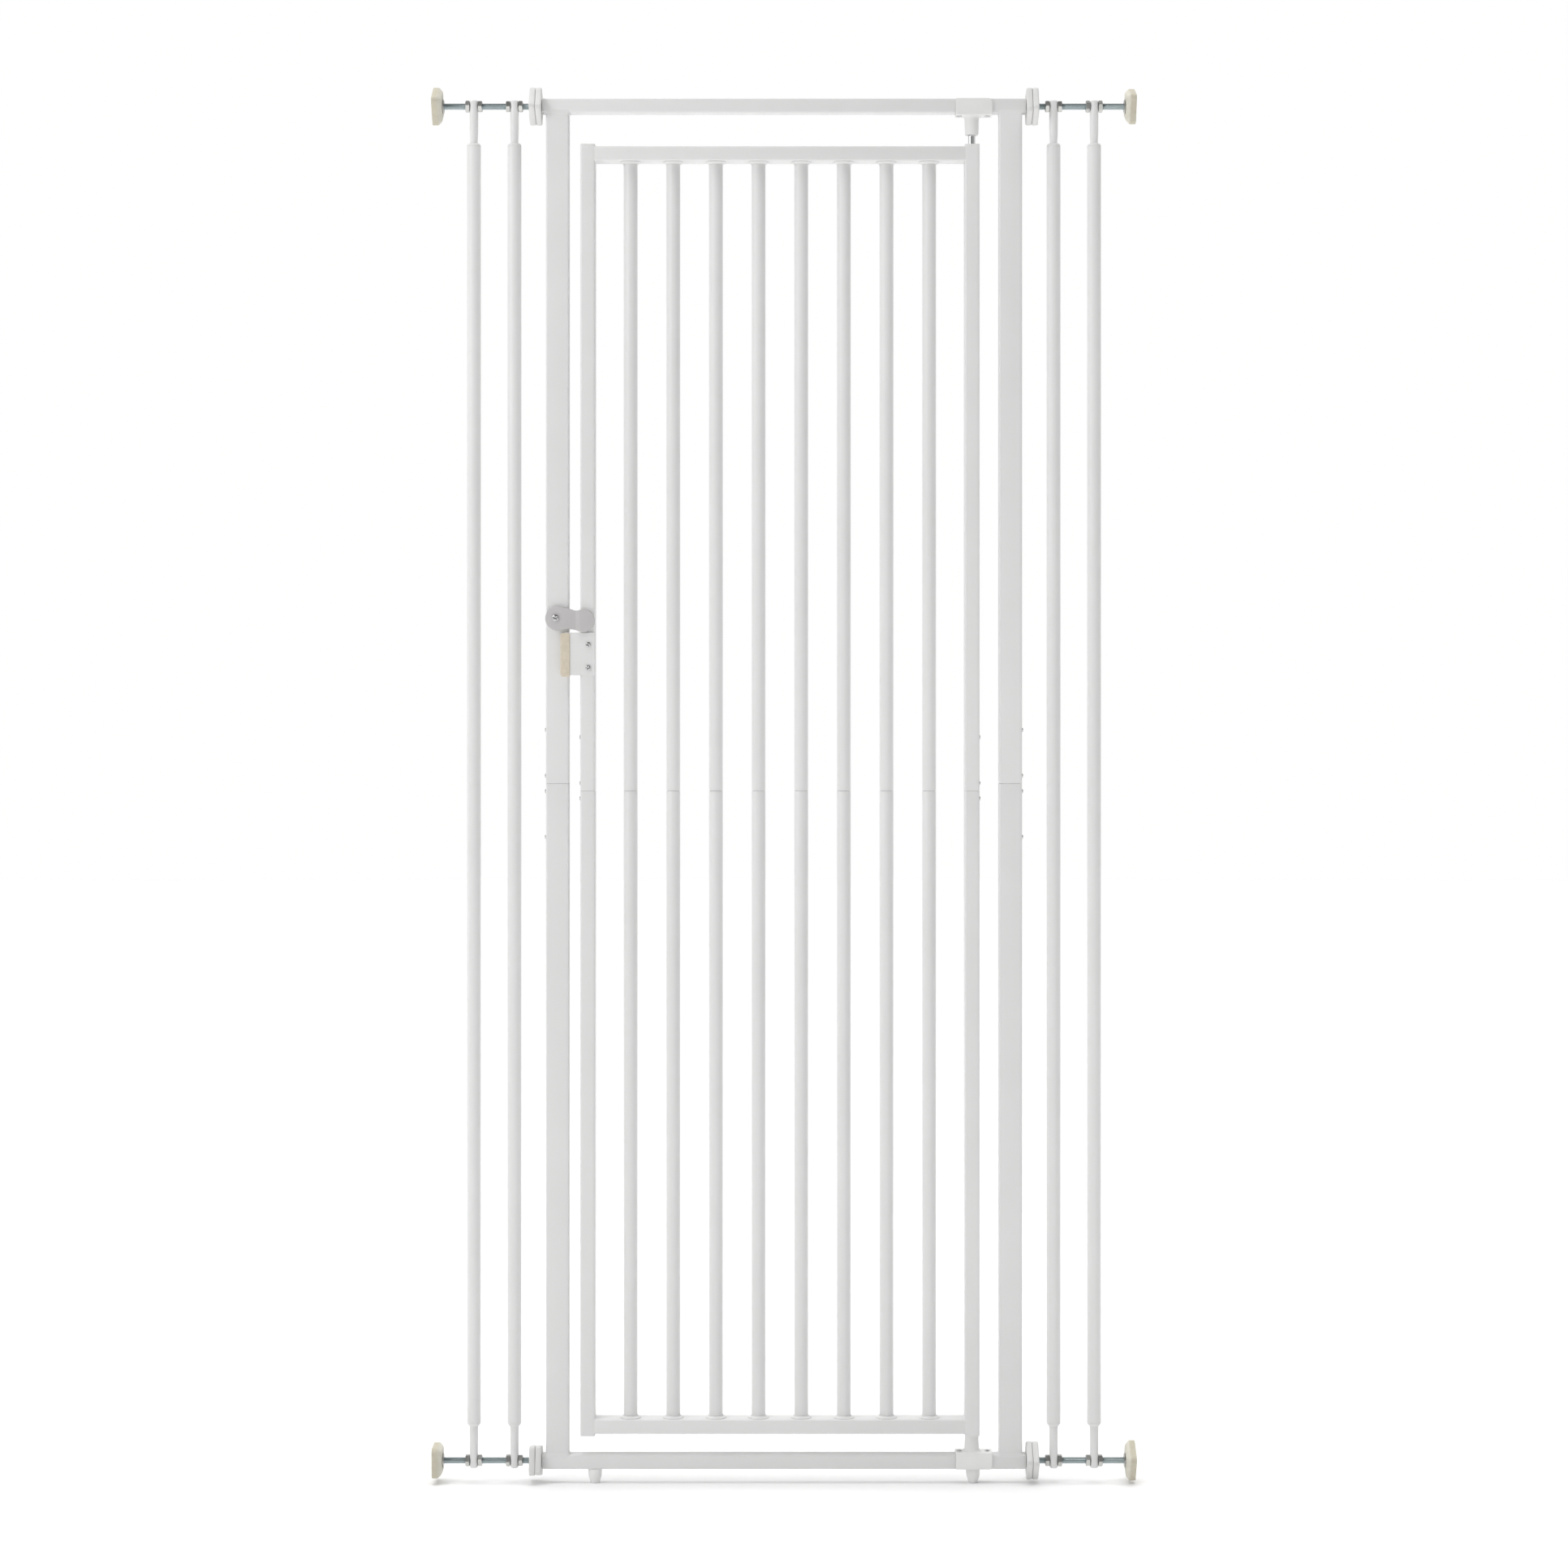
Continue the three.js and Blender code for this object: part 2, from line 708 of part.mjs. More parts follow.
for (const side of [-1, 1]) {
  const hand = side < 0 ? "left" : "right";
  const group = new THREE.Group();
  gate.add(group);

  for (const [level, z] of LEVELS) {
    const [rollA, rollL, rollP] = ROLL[`${level}_${hand}`].map((d) => (d * Math.PI) / 180);

    // Threaded rod with its two pairs of nuts and the washer behind the pad.
    let threaded = solid(rodX(ROD_R, ...outward(side, ROD_IN, ROD_OUT), 10));
    for (const x of SIDE_BAR_X)
      for (const d of [-1, 1]) {
        const near = x + d * (NECK_W / 2 + GAP);
        const far = near + d * NUT_H;
        threaded = threaded.add(
          solid(rodX(NUT_AF / Math.sqrt(3), ...outward(side, near, far), 6)),
        );
      }
    threaded = threaded
      .add(solid(rodX(8, ...outward(side, PAD_X - PAD_T - GAP, PAD_X - PAD_T - GAP - 1.4), 12)))
      .translate([0, 0, z]);
    add(group, `threaded_rod_${level}_${hand}`, geometryOf(threaded), zinc());

    // Hand wheels: plump rounded squares on the thread.
    for (const [name, x, roll] of [
      ["adjusting_wheel", WHEEL_X, rollA],
      ["lock_wheel", LOCK_X, rollL],
    ]) {
      const wheel = solid(
        loft([
          squareRing(WHEEL - 1.6, WHEEL_R - 0.8, side * x, roll),
          squareRing(WHEEL, WHEEL_R, side * (x + 0.9), roll),
          squareRing(WHEEL, WHEEL_R, side * (x + WHEEL_T - 0.9), roll),
          squareRing(WHEEL - 1.6, WHEEL_R - 0.8, side * (x + WHEEL_T), roll),
        ]),
      )
        .subtract(solid(rodX(WHEEL_BORE_R, ...outward(side, x - 5, x + WHEEL_T + 5), 10)))
        .translate([0, 0, z]);
      add(gate, `${name}_${level}_${hand}`, geometryOf(wheel), whitePlastic());
    }

    // Wall pad: a square rim and a tapered back with a blind hole for the rod's end.
    const back = PAD_X - PAD_T;
    const pad = solid(
      loft([
        squareRing(PAD, PAD_R, side * PAD_X, rollP),
        squareRing(PAD, PAD_R, side * (PAD_X - PAD_RIM), rollP),
        squareRing(PAD - 5.6, PAD_R - 1.4, side * back, rollP),
      ]),
    )
      .subtract(solid(rodX(4.6, ...outward(side, back - 5, ROD_OUT + 0.5), 10)))
      .translate([0, 0, z]);
    add(gate, `wall_pad_${level}_${hand}`, geometryOf(pad), cream());
  }

  // Extension bars: round tube, necked at both ends, cross-drilled for the rods, drained at the back.
  SIDE_BAR_X.forEach((x, i) => {
    const [z0, z1] = SIDE_BAR_Z;
    let bar = solid(
      turned(
        [
          [0, z0],
          [6.2, z0],
          [SIDE_BAR_R, z0 + 3.2],
          [SIDE_BAR_R, z1 - 3.2],
          [6.2, z1],
          [0, z1],
        ],
        12,
      ),
    ).subtract(solid(rod(SIDE_BAR_R - WALL, z0 + 14, z1 - 14, 10)));
    bar = bar.subtract(solid(rodY(1.5, SIDE_BAR_R - 3.5, SIDE_BAR_R + 3, 6).translate(0, 0, 120)));
    for (const [from, to, railZ] of [
      [z0 + 4, NECK_Z[0], BOTTOM_RAIL_Z],
      [z1 - 4, NECK_Z[1], TOP_RAIL_Z],
    ]) {
      const up = Math.sign(to - from);
      const ring = (w, d, z) =>
        roundedRect(w, d, w / 2 - 0.2)
          .getPoints(2)
          .filter((p, k, all) => k === 0 || p.distanceTo(all[k - 1]) > 1e-4)
          .filter((p, k, all) => k === 0 || p.distanceTo(all[0]) > 1e-4)
          .map((p) => new THREE.Vector3(p.x, p.y, z));
      bar = bar
        .add(
          solid(
            loft([
              ring(NECK_W, NECK_D, from),
              ring(NECK_W, NECK_D, to - up * 1.6),
              ring(NECK_W - 3, NECK_D - 4, to),
            ]),
          ),
        )
        .subtract(solid(rodX(4.6, -12, 12, 10).translate(0, 0, railZ)));
    }
    add(
      group,
      `extension_bar_${i === 0 ? "inner" : "outer"}_${hand}`,
      geometryOf(bar.translate([side * x, 0, 0])),
      white(),
    );
  });
}

export default gate;
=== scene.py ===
import math

import bmesh
import bpy
import numpy as np
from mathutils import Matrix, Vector


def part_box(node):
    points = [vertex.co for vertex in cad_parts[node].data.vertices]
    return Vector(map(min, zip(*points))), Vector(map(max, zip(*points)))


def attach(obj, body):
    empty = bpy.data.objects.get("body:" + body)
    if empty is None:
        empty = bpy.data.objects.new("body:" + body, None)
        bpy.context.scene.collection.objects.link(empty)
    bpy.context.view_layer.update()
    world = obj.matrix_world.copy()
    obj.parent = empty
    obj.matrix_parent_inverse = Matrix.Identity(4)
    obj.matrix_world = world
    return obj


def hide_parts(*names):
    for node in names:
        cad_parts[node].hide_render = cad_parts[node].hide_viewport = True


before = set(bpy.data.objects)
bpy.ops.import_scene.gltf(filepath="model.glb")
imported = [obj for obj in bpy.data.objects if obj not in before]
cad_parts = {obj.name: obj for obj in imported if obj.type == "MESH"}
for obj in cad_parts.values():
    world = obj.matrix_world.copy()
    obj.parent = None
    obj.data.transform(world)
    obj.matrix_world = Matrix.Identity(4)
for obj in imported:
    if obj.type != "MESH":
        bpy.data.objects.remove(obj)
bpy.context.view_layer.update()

PI = math.pi
SIDES = (("left", -1), ("right", 1))
LEVELS = ("top", "bottom")


def B(node):
    """A CAD node's box in millimetres: (lo, hi)."""
    lo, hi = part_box(node)
    return [c * 1000 for c in lo], [c * 1000 for c in hi]


# ------------------------------------------------------------------ materials
def material(name):
    m = bpy.data.materials.new(name)
    m.use_nodes = True
    nt = m.node_tree
    return m, nt, nt.nodes["Principled BSDF"]


def noise(nt, scale, detail=3.0, rough=0.5, stretch=None, seed=0.0, coord=None):
    """Fac of a noise texture in object space; scale is per metre."""
    tc = coord or nt.nodes.new("ShaderNodeTexCoord").outputs["Object"]
    mp = nt.nodes.new("ShaderNodeMapping")
    mp.inputs["Scale"].default_value = stretch or (1, 1, 1)
    mp.inputs["Location"].default_value = (seed, seed * 1.7, seed * 0.6)
    nt.links.new(tc, mp.inputs["Vector"])
    n = nt.nodes.new("ShaderNodeTexNoise")
    n.inputs["Scale"].default_value = scale
    n.inputs["Detail"].default_value = detail
    n.inputs["Roughness"].default_value = rough
    nt.links.new(mp.outputs["Vector"], n.inputs["Vector"])
    return n.outputs["Fac"]


def ramp(nt, fac, stops):
    r = nt.nodes.new("ShaderNodeValToRGB")
    el = r.color_ramp.elements
    while len(el) < len(stops):
        el.new(0.5)
    for e, (pos, col) in zip(el, stops):
        e.position = pos
        e.color = (*col, 1) if len(col) == 3 else col
    nt.links.new(fac, r.inputs["Fac"])
    return r.outputs["Color"]


def spread(nt, fac, low, high, a=0.3, b=0.7):
    r = nt.nodes.new("ShaderNodeMapRange")
    r.inputs["From Min"].default_value = a
    r.inputs["From Max"].default_value = b
    r.inputs["To Min"].default_value = low
    r.inputs["To Max"].default_value = high
    nt.links.new(fac, r.inputs["Value"])
    return r.outputs["Result"]


def bump(nt, height, strength, distance, after=None):
    b = nt.nodes.new("ShaderNodeBump")
    b.inputs["Strength"].default_value = strength
    b.inputs["Distance"].default_value = distance
    nt.links.new(height, b.inputs["Height"])
    if after is not None:
        nt.links.new(after, b.inputs["Normal"])
    return b.outputs["Normal"]


def enamel(name, base, seed=0.0):
    """Satin powder coat: a faint orange peel, a slow drift of tone and a fine speckle."""
    m, nt, p = material(name)
    drift = noise(nt, 9, 2, 0.5, seed=seed)
    tone = ramp(nt, drift, [(0.3, [c * 0.985 for c in base]), (0.7, [min(1, c * 1.012) for c in base])])
    fleck = noise(nt, 1400, 2, 0.6, seed=seed + 3)
    speck = ramp(nt, fleck, [(0.24, (0.955, 0.955, 0.95)), (0.34, (1, 1, 1))])
    mix = nt.nodes.new("ShaderNodeMix")
    mix.data_type = "RGBA"
    mix.blend_type = "MULTIPLY"
    mix.inputs["Factor"].default_value = 1.0
    nt.links.new(tone, mix.inputs["A"])
    nt.links.new(speck, mix.inputs["B"])
    nt.links.new(mix.outputs["Result"], p.inputs["Base Color"])
    nt.links.new(spread(nt, noise(nt, 60, 3, seed=seed + 1), 0.36, 0.46), p.inputs["Roughness"])
    peel = noise(nt, 520, 2, 0.45, seed=seed + 2)
    n1 = bump(nt, peel, 0.35, 0.00006)
    fine = noise(nt, 2600, 2, 0.5, seed=seed + 5)
    nt.links.new(bump(nt, fine, 0.2, 0.00002, n1), p.inputs["Normal"])
    p.inputs["Specular IOR Level"].default_value = 0.42
    p.inputs["Coat Weight"].default_value = 0.12
    p.inputs["Coat Roughness"].default_value = 0.3
    return m


def plastic(name, base, rough=0.42, grain=1800, depth=0.00003, seed=0.0, sss=0.0, vary=0.02):
    """Moulded plastic: spark-eroded grain, slight flow marks, soft gloss."""
    m, nt, p = material(name)
    flow = noise(nt, 45, 3, 0.55, seed=seed)
    nt.links.new(
        ramp(nt, flow, [(0.3, [c * (1 - vary) for c in base]), (0.7, [min(1, c * (1 + vary * 0.6)) for c in base])]),
        p.inputs["Base Color"],
    )
    nt.links.new(spread(nt, noise(nt, 140, 2, seed=seed + 1), rough - 0.05, rough + 0.06), p.inputs["Roughness"])
    g = noise(nt, grain, 3, 0.6, seed=seed + 2)
    nt.links.new(bump(nt, g, 0.45, depth), p.inputs["Normal"])
    p.inputs["Specular IOR Level"].default_value = 0.4
    if sss:
        p.inputs["Subsurface Weight"].default_value = sss
        p.inputs["Subsurface Radius"].default_value = (0.004, 0.003, 0.002)
        p.inputs["Subsurface Scale"].default_value = 0.3
    return m


def rubber(name, base, dark, seed=0.0, rim=None):
    """Matt moulded rubber with a chalky bloom and fine pores; rim paints shade on a pad's outer, wall-side band."""
    m, nt, p = material(name)
    bloom = noise(nt, 130, 4, 0.6, seed=seed)
    col = ramp(nt, bloom, [(0.28, dark), (0.62, base), (0.8, [min(1, c * 1.03) for c in base])])
    pores = noise(nt, 3200, 2, 0.5, seed=seed + 4)
    speck = ramp(nt, pores, [(0.27, (0.9, 0.88, 0.84)), (0.38, (1, 1, 1))])
    mix = nt.nodes.new("ShaderNodeMix")
    mix.data_type = "RGBA"
    mix.blend_type = "MULTIPLY"
    mix.inputs["Factor"].default_value = 1.0
    nt.links.new(col, mix.inputs["A"])
    nt.links.new(speck, mix.inputs["B"])
    shade = mix.outputs["Result"]
    # painted shade: where |x| in object space runs from near to far, the colour is multiplied by the tint, darkening
    # the pad's wall-side rim
    if rim:
        near, far, tint = rim
        pos = nt.nodes.new("ShaderNodeSeparateXYZ")
        nt.links.new(nt.nodes.new("ShaderNodeTexCoord").outputs["Object"], pos.inputs["Vector"])
        dist = nt.nodes.new("ShaderNodeMath")
        dist.operation = "ABSOLUTE"
        nt.links.new(pos.outputs["X"], dist.inputs[0])
        edge = spread(nt, dist.outputs[0], 0.0, 1.0, near, far)
        rim_painted_shade = nt.nodes.new("ShaderNodeMix")
        rim_painted_shade.data_type = "RGBA"
        rim_painted_shade.blend_type = "MULTIPLY"
        nt.links.new(edge, rim_painted_shade.inputs["Factor"])
        nt.links.new(shade, rim_painted_shade.inputs["A"])
        rim_painted_shade.inputs["B"].default_value = (*tint, 1)
        shade = rim_painted_shade.outputs["Result"]
    nt.links.new(shade, p.inputs["Base Color"])
    nt.links.new(spread(nt, bloom, 0.68, 0.85), p.inputs["Roughness"])
    g = noise(nt, 900, 4, 0.65, seed=seed + 2)
    nt.links.new(bump(nt, g, 0.5, 0.00008), p.inputs["Normal"])
    p.inputs["Specular IOR Level"].default_value = 0.3
    p.inputs["Sheen Weight"].default_value = 0.12
    p.inputs["Sheen Roughness"].default_value = 0.5
    return m


def plated(name, low, high, rough, stretch, grain=260, seed=0.0, tint=None):
    """Zinc plate: drawn streaks, a bluish passivate and slight clouding."""
    m, nt, p = material(name)
    cloud = noise(nt, 120, 4, 0.6, stretch=stretch, seed=seed)
    stops = [(0.28, low), (0.72, high)]
    if tint:
        stops = [(0.22, tint), (0.4, low), (0.75, high)]
    nt.links.new(ramp(nt, cloud, stops), p.inputs["Base Color"])
    nt.links.new(
        spread(nt, noise(nt, grain, 3, 0.6, stretch=stretch, seed=seed + 1), rough - 0.07, rough + 0.09),
        p.inputs["Roughness"],
    )
    g = noise(nt, grain * 7, 2, 0.6, stretch=stretch, seed=seed + 2)
    nt.links.new(bump(nt, g, 0.25, 0.00002), p.inputs["Normal"])
    p.inputs["Metallic"].default_value = 1.0
    return m


WHITE = enamel("white_enamel", (0.782, 0.782, 0.779))
WHITE_DOOR = enamel("white_enamel_door", (0.784, 0.784, 0.780), seed=7.0)
WHITE_SIDE = enamel("white_enamel_sides", (0.792, 0.792, 0.788), seed=13.0)
WELD = enamel("white_enamel_weld", (0.784, 0.784, 0.780), seed=21.0)
MOULDED = plastic("white_plastic", (0.82, 0.82, 0.812), 0.4)
WHEELS = plastic("white_wheel_plastic", (0.742, 0.74, 0.73), 0.44, 1500, 0.00004, seed=4.0)
FOOT = plastic("white_foot_plastic", (0.91, 0.908, 0.90), 0.45, 1500, 0.00004, seed=9.0)
# painted light: a lighter copy of white_plastic for the lower bracket, making up for the dimmer light near the floor
MOULDED_LOWER_PAINTED_LIGHT = plastic("white_plastic_lower_painted_light", (0.865, 0.864, 0.855), 0.4, seed=15.0)
GREY = plastic("grey_plastic", (0.555, 0.541, 0.543), 0.5, 1700, 0.00006, seed=2.0, vary=0.035)
# the rim values paint shade on the wall-side band of each pad, beyond |x| = 0.4245 m
CREAM = rubber("cream_rubber", (0.715, 0.69, 0.605), (0.65, 0.625, 0.535), rim=(0.4245, 0.4268, (0.84, 0.82, 0.765)))
BEIGE = rubber("beige_rubber", (0.715, 0.64, 0.525), (0.63, 0.56, 0.45), seed=5.0)
ZINC = plated("zinc_rod", (0.345, 0.405, 0.42), (0.44, 0.505, 0.515), 0.36, (0.12, 1, 1), tint=(0.29, 0.35, 0.37))
NUTS = plated("zinc_nut", (0.50, 0.505, 0.49), (0.66, 0.655, 0.63), 0.36, (1, 1, 1), seed=3.0)
SCREW = plated("screw_plate", (0.52, 0.52, 0.52), (0.72, 0.72, 0.72), 0.22, (1, 1, 1), 400, seed=6.0)
SLEEVE = plated("zinc_sleeve", (0.48, 0.50, 0.51), (0.60, 0.62, 0.63), 0.38, (1, 1, 0.1), seed=8.0)
CHROME = plated("bright_pin", (0.72, 0.73, 0.73), (0.84, 0.85, 0.85), 0.12, (1, 1, 0.05), 300, seed=11.0)


# ------------------------------------------------------------------ mesh building, in millimetres
def rrect(w, h, r, n=6):
    """Rounded rectangle outline, anticlockwise."""
    r = min(r, w / 2 - 1e-3, h / 2 - 1e-3)
    out = []
    for cx, cy, a0 in (
        (w / 2 - r, h / 2 - r, 0),
        (-w / 2 + r, h / 2 - r, 90),
        (-w / 2 + r, -h / 2 + r, 180),
        (w / 2 - r, -h / 2 + r, 270),
    ):
        for i in range(n + 1):
            a = math.radians(a0 + 90 * i / n)
            out.append((cx + r * math.cos(a), cy + r * math.sin(a)))
    return np.array(out)


def circle(r, n=48, phase=0.0):
    a = np.arange(n) * 2 * PI / n + phase
    return np.stack([r * np.cos(a), r * np.sin(a)], 1)


def place(pts, t, axis, c=(0, 0, 0)):
    """A 2D outline at t along an axis: x uses (y, z), y uses (x, z), z uses (x, y)."""
    pts = np.asarray(pts, float)
    out = np.zeros((len(pts), 3))
    i, (j, k) = {"x": (0, (1, 2)), "y": (1, (0, 2)), "z": (2, (0, 1))}[axis]
    out[:, i] = t
    out[:, j] = pts[:, 0]
    out[:, k] = pts[:, 1]
    return out + np.array(c)


class Shell:
    def __init__(self):
        self.v, self.f = [], []

    def skin(self, rings, loop=False, cap=True):
        n, base = len(rings[0]), len(self.v)
        for r in rings:
            self.v.extend([tuple(p) for p in r])
        m = len(rings)
        for k in range(m if loop else m - 1):
            a, b = base + k * n, base + ((k + 1) % m) * n
            for i in range(n):
                j = (i + 1) % n
                self.f.append((a + i, a + j, b + j, b + i))
        if cap and not loop:
            self.f.append(tuple(base + i for i in reversed(range(n))))
            self.f.append(tuple(base + (m - 1) * n + i for i in range(n)))
        return self


def finish_mesh(me, sharp=38):
    me.polygons.foreach_set("use_smooth", [True] * len(me.polygons))
    me.set_sharp_from_angle(angle=math.radians(sharp))


def to_mesh(name, shell, sharp=38, weld=None):
    me = bpy.data.meshes.new(name)
    me.from_pydata([tuple(c * 0.001 for c in p) for p in shell.v], [], shell.f)
    bm = bmesh.new()
    bm.from_mesh(me)
    if weld:
        bmesh.ops.remove_doubles(bm, verts=bm.verts, dist=weld * 0.001)
    bmesh.ops.recalc_face_normals(bm, faces=bm.faces)
    bm.to_mesh(me)
    bm.free()
    finish_mesh(me, sharp)
    return me


def add(name, mesh, mat, body, replaces=()):
    ob = bpy.data.objects.new(name, mesh)
    bpy.context.scene.collection.objects.link(ob)
    ob.data.materials.clear()
    ob.data.materials.append(mat)
    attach(ob, body)
    if replaces:
        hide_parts(*([replaces] if isinstance(replaces, str) else replaces))
    return ob


def piece(name, shell, mat, body, replaces=(), sharp=38, weld=None):
    return add(name, to_mesh(name, shell, sharp, weld), mat, body, replaces)


def turned(profile, axis="z", c=(0, 0, 0), n=48, shell=None, loop=False):
    """Solid of revolution from [radius, t] pairs; a closed loop profile makes a ring."""
    s = shell or Shell()
    return s.skin([place(circle(max(r, 1e-4), n), t, axis, c) for r, t in profile], loop=loop)


def fillet(r0, t0, r1, t1, n=5, out=True):
    """Quarter round between two profile points."""
    pts = []
    for i in range(n + 1):
        a = PI / 2 * i / n
        u, v = (math.sin(a), 1 - math.cos(a)) if out else (1 - math.cos(a), math.sin(a))
        pts.append((r0 + (r1 - r0) * u, t0 + (t1 - t0) * v))
    return pts


def square_tube(w, h, r, wall, t0, t1, axis, c, e=0.35, n=6, shell=None):
    """Hollow rounded-rectangle tube with eased ends."""
    s = shell or Shell()
    o = lambda d: rrect(w - 2 * d, h - 2 * d, max(r - d, 0.3), n)
    i = lambda d: rrect(w - 2 * wall + 2 * d, h - 2 * wall + 2 * d, max(r - wall + d, 0.3), n)
    q = e * 0.3
    rings = [
        place(i(0), t0 + q, axis, c),
        place(i(q), t0, axis, c),
        place(o(e), t0, axis, c),
        place(o(q), t0 + q, axis, c),
        place(o(0), t0 + e, axis, c),
        place(o(0), t1 - e, axis, c),
        place(o(q), t1 - q, axis, c),
        place(o(e), t1, axis, c),
        place(i(q), t1, axis, c),
        place(i(0), t1 - q, axis, c),
    ]
    return s.skin(rings, loop=True)


def round_tube(r, wall, t0, t1, axis, c, e=0.3, n=56, shell=None):
    s = shell or Shell()
    prof = [
        (r - wall, t0 + 0.1),
        (r - wall + 0.1, t0),
        (r - e, t0),
        (r - e * 0.3, t0 + e * 0.3),
        (r, t0 + e),
        (r, t1 - e),
        (r - e * 0.3, t1 - e * 0.3),
        (r - e, t1),
        (r - wall + 0.1, t1),
        (r - wall, t1 - 0.1),
    ]
    return turned(prof, axis, c, n, s, loop=True)


def slab(outline, t0, t1, axis, c=(0, 0, 0), e=0.6, steps=3, shell=None, inset=None):
    """Solid plate of any convex-ish outline with rounded rims. inset(outline, d) shrinks it."""
    s = shell or Shell()
    shrink = inset or offset
    rings = []
    for k in range(steps + 1):
        a = PI / 2 * k / steps
        rings.append(place(shrink(outline, e * (1 - math.sin(a))), t0 + e * (1 - math.cos(a)), axis, c))
    for k in range(steps, -1, -1):
        a = PI / 2 * k / steps
        rings.append(place(shrink(outline, e * (1 - math.sin(a))), t1 - e * (1 - math.cos(a)), axis, c))
    return s.skin(rings)


def offset(outline, d):
    """Moves a closed anticlockwise outline inwards by d along its vertex normals."""
    p = np.asarray(outline, float)
    if abs(d) < 1e-9:
        return p
    area = 0.5 * np.sum(p[:, 0] * np.roll(p[:, 1], -1) - np.roll(p[:, 0], -1) * p[:, 1])
    sign = 1 if area > 0 else -1
    a = p - np.roll(p, 1, 0)
    b = np.roll(p, -1, 0) - p
    na = np.stack([-a[:, 1], a[:, 0]], 1) * sign
    nb = np.stack([-b[:, 1], b[:, 0]], 1) * sign
    na /= np.maximum(np.linalg.norm(na, axis=1), 1e-9)[:, None]
    nb /= np.maximum(np.linalg.norm(nb, axis=1), 1e-9)[:, None]
    m = na + nb
    m /= np.maximum(np.linalg.norm(m, axis=1), 1e-9)[:, None]
    cosh = np.clip(np.sum(m * na, axis=1), 0.5, 1)
    return p + m * (d / cosh)[:, None]


def boolean(base, cutters, op):
    """Exact boolean of meshes; returns a new mesh."""
    ob = bpy.data.objects.new("tmp_base", base)
    bpy.context.scene.collection.objects.link(ob)
    made = [ob]
    for c in cutters:
        co = bpy.data.objects.new("tmp_cut", c)
        bpy.context.scene.collection.objects.link(co)
        made.append(co)
        md = ob.modifiers.new("b", "BOOLEAN")
        md.operation = op
        md.solver = "EXACT"
        md.object = co
    dg = bpy.context.evaluated_depsgraph_get()
    out = bpy.data.meshes.new_from_object(ob.evaluated_get(dg))
    for o in made:
        bpy.data.objects.remove(o)
    return out


def clean(me, sharp=38, dist=1e-6):
    bm = bmesh.new()
    bm.from_mesh(me)
    bmesh.ops.remove_doubles(bm, verts=bm.verts, dist=dist)
    bmesh.ops.dissolve_degenerate(bm, edges=bm.edges, dist=dist)
    bmesh.ops.recalc_face_normals(bm, faces=bm.faces)
    bm.to_mesh(me)
    bm.free()
    finish_mesh(me, sharp)
    return me


def screw_head(name, c, axis, sign, r, h, body, roll=0.3, mat=None, shank=None):
    """Cross-recessed pan head standing on a face at c, pointing along sign * axis."""
    n, s = 48, Shell()
    radii = [r * k for k in (0.02, 0.08, 0.13, 0.18, 0.24, 0.31, 0.38, 0.46, 0.54, 0.62, 0.72, 0.82, 0.9, 0.96, 1.0)]
    rings = []
    w, arm, depth = 0.17 * r, 0.6 * r, 0.55 * h
    for q in radii:
        a = np.arange(n) * 2 * PI / n
        x, y = q * np.cos(a - roll), q * np.sin(a - roll)
        z = h * (0.42 + 0.58 * math.sqrt(max(0.0, 1 - (q / r) ** 2.6)))
        u = np.minimum(np.abs(x), np.abs(y))
        v = np.maximum(np.abs(x), np.abs(y))
        inside = np.clip((w - u) / (0.05 * r) + 0.5, 0, 1) * np.clip((arm - v) / (0.1 * r) + 0.5, 0, 1)
        t = sign * (z - depth * inside * (1 - 0.5 * v / arm))
        ring = place(circle(q, n), 0, axis)
        ring[:, {"x": 0, "y": 1, "z": 2}[axis]] = t
        rings.append(ring + np.array(c))
    rings.append(place(circle(r, n), sign * h * 0.12, axis, c))
    rings.append(place(circle(r * 0.96, n), 0, axis, c))
    rr = min(r * 0.5, 2.0)
    rings.append(place(circle(rr, n), 0, axis, c))
    rings.append(place(circle(rr, n), -sign * (shank or 1.0), axis, c))
    s.skin(rings)
    return piece(name, s, mat or SCREW, body, sharp=32)


# ------------------------------------------------------------------ camera and light
scene = bpy.context.scene
cam_data = bpy.data.cameras.new("camera")
cam = bpy.data.objects.new("camera", cam_data)
scene.collection.objects.link(cam)
CAM_D, CAM_Z = 3.9, 0.95
cam.location = (0.0, -CAM_D, CAM_Z)
cam.rotation_euler = (PI / 2, 0, 0)
cam_data.sensor_width = 36.0
cam_data.lens = 36.0 * (CAM_D - 0.005) / 1.932
cam_data.shift_x = 0.0
cam_data.shift_y = (0.8615 - CAM_Z) / 1.932
cam_data.clip_start, cam_data.clip_end = 0.05, 100
scene.camera = cam
scene.view_settings.view_transform = "Standard"
scene.view_settings.look = "None"

world = bpy.data.worlds.new("studio")
scene.world = world
world.use_nodes = True
wt = world.node_tree
bg = wt.nodes["Background"]
wc = wt.nodes.new("ShaderNodeTexCoord")
sep = wt.nodes.new("ShaderNodeSeparateXYZ")
wt.links.new(wc.outputs["Generated"], sep.inputs["Vector"])


def wmath(op, a, b=None):
    n = wt.nodes.new("ShaderNodeMath")
    n.operation = op
    for i, v in enumerate((a, b)):
        if v is None:
            continue
        if isinstance(v, (int, float)):
            n.inputs[i].default_value = v
        else:
            wt.links.new(v, n.inputs[i])
    return n.outputs[0]


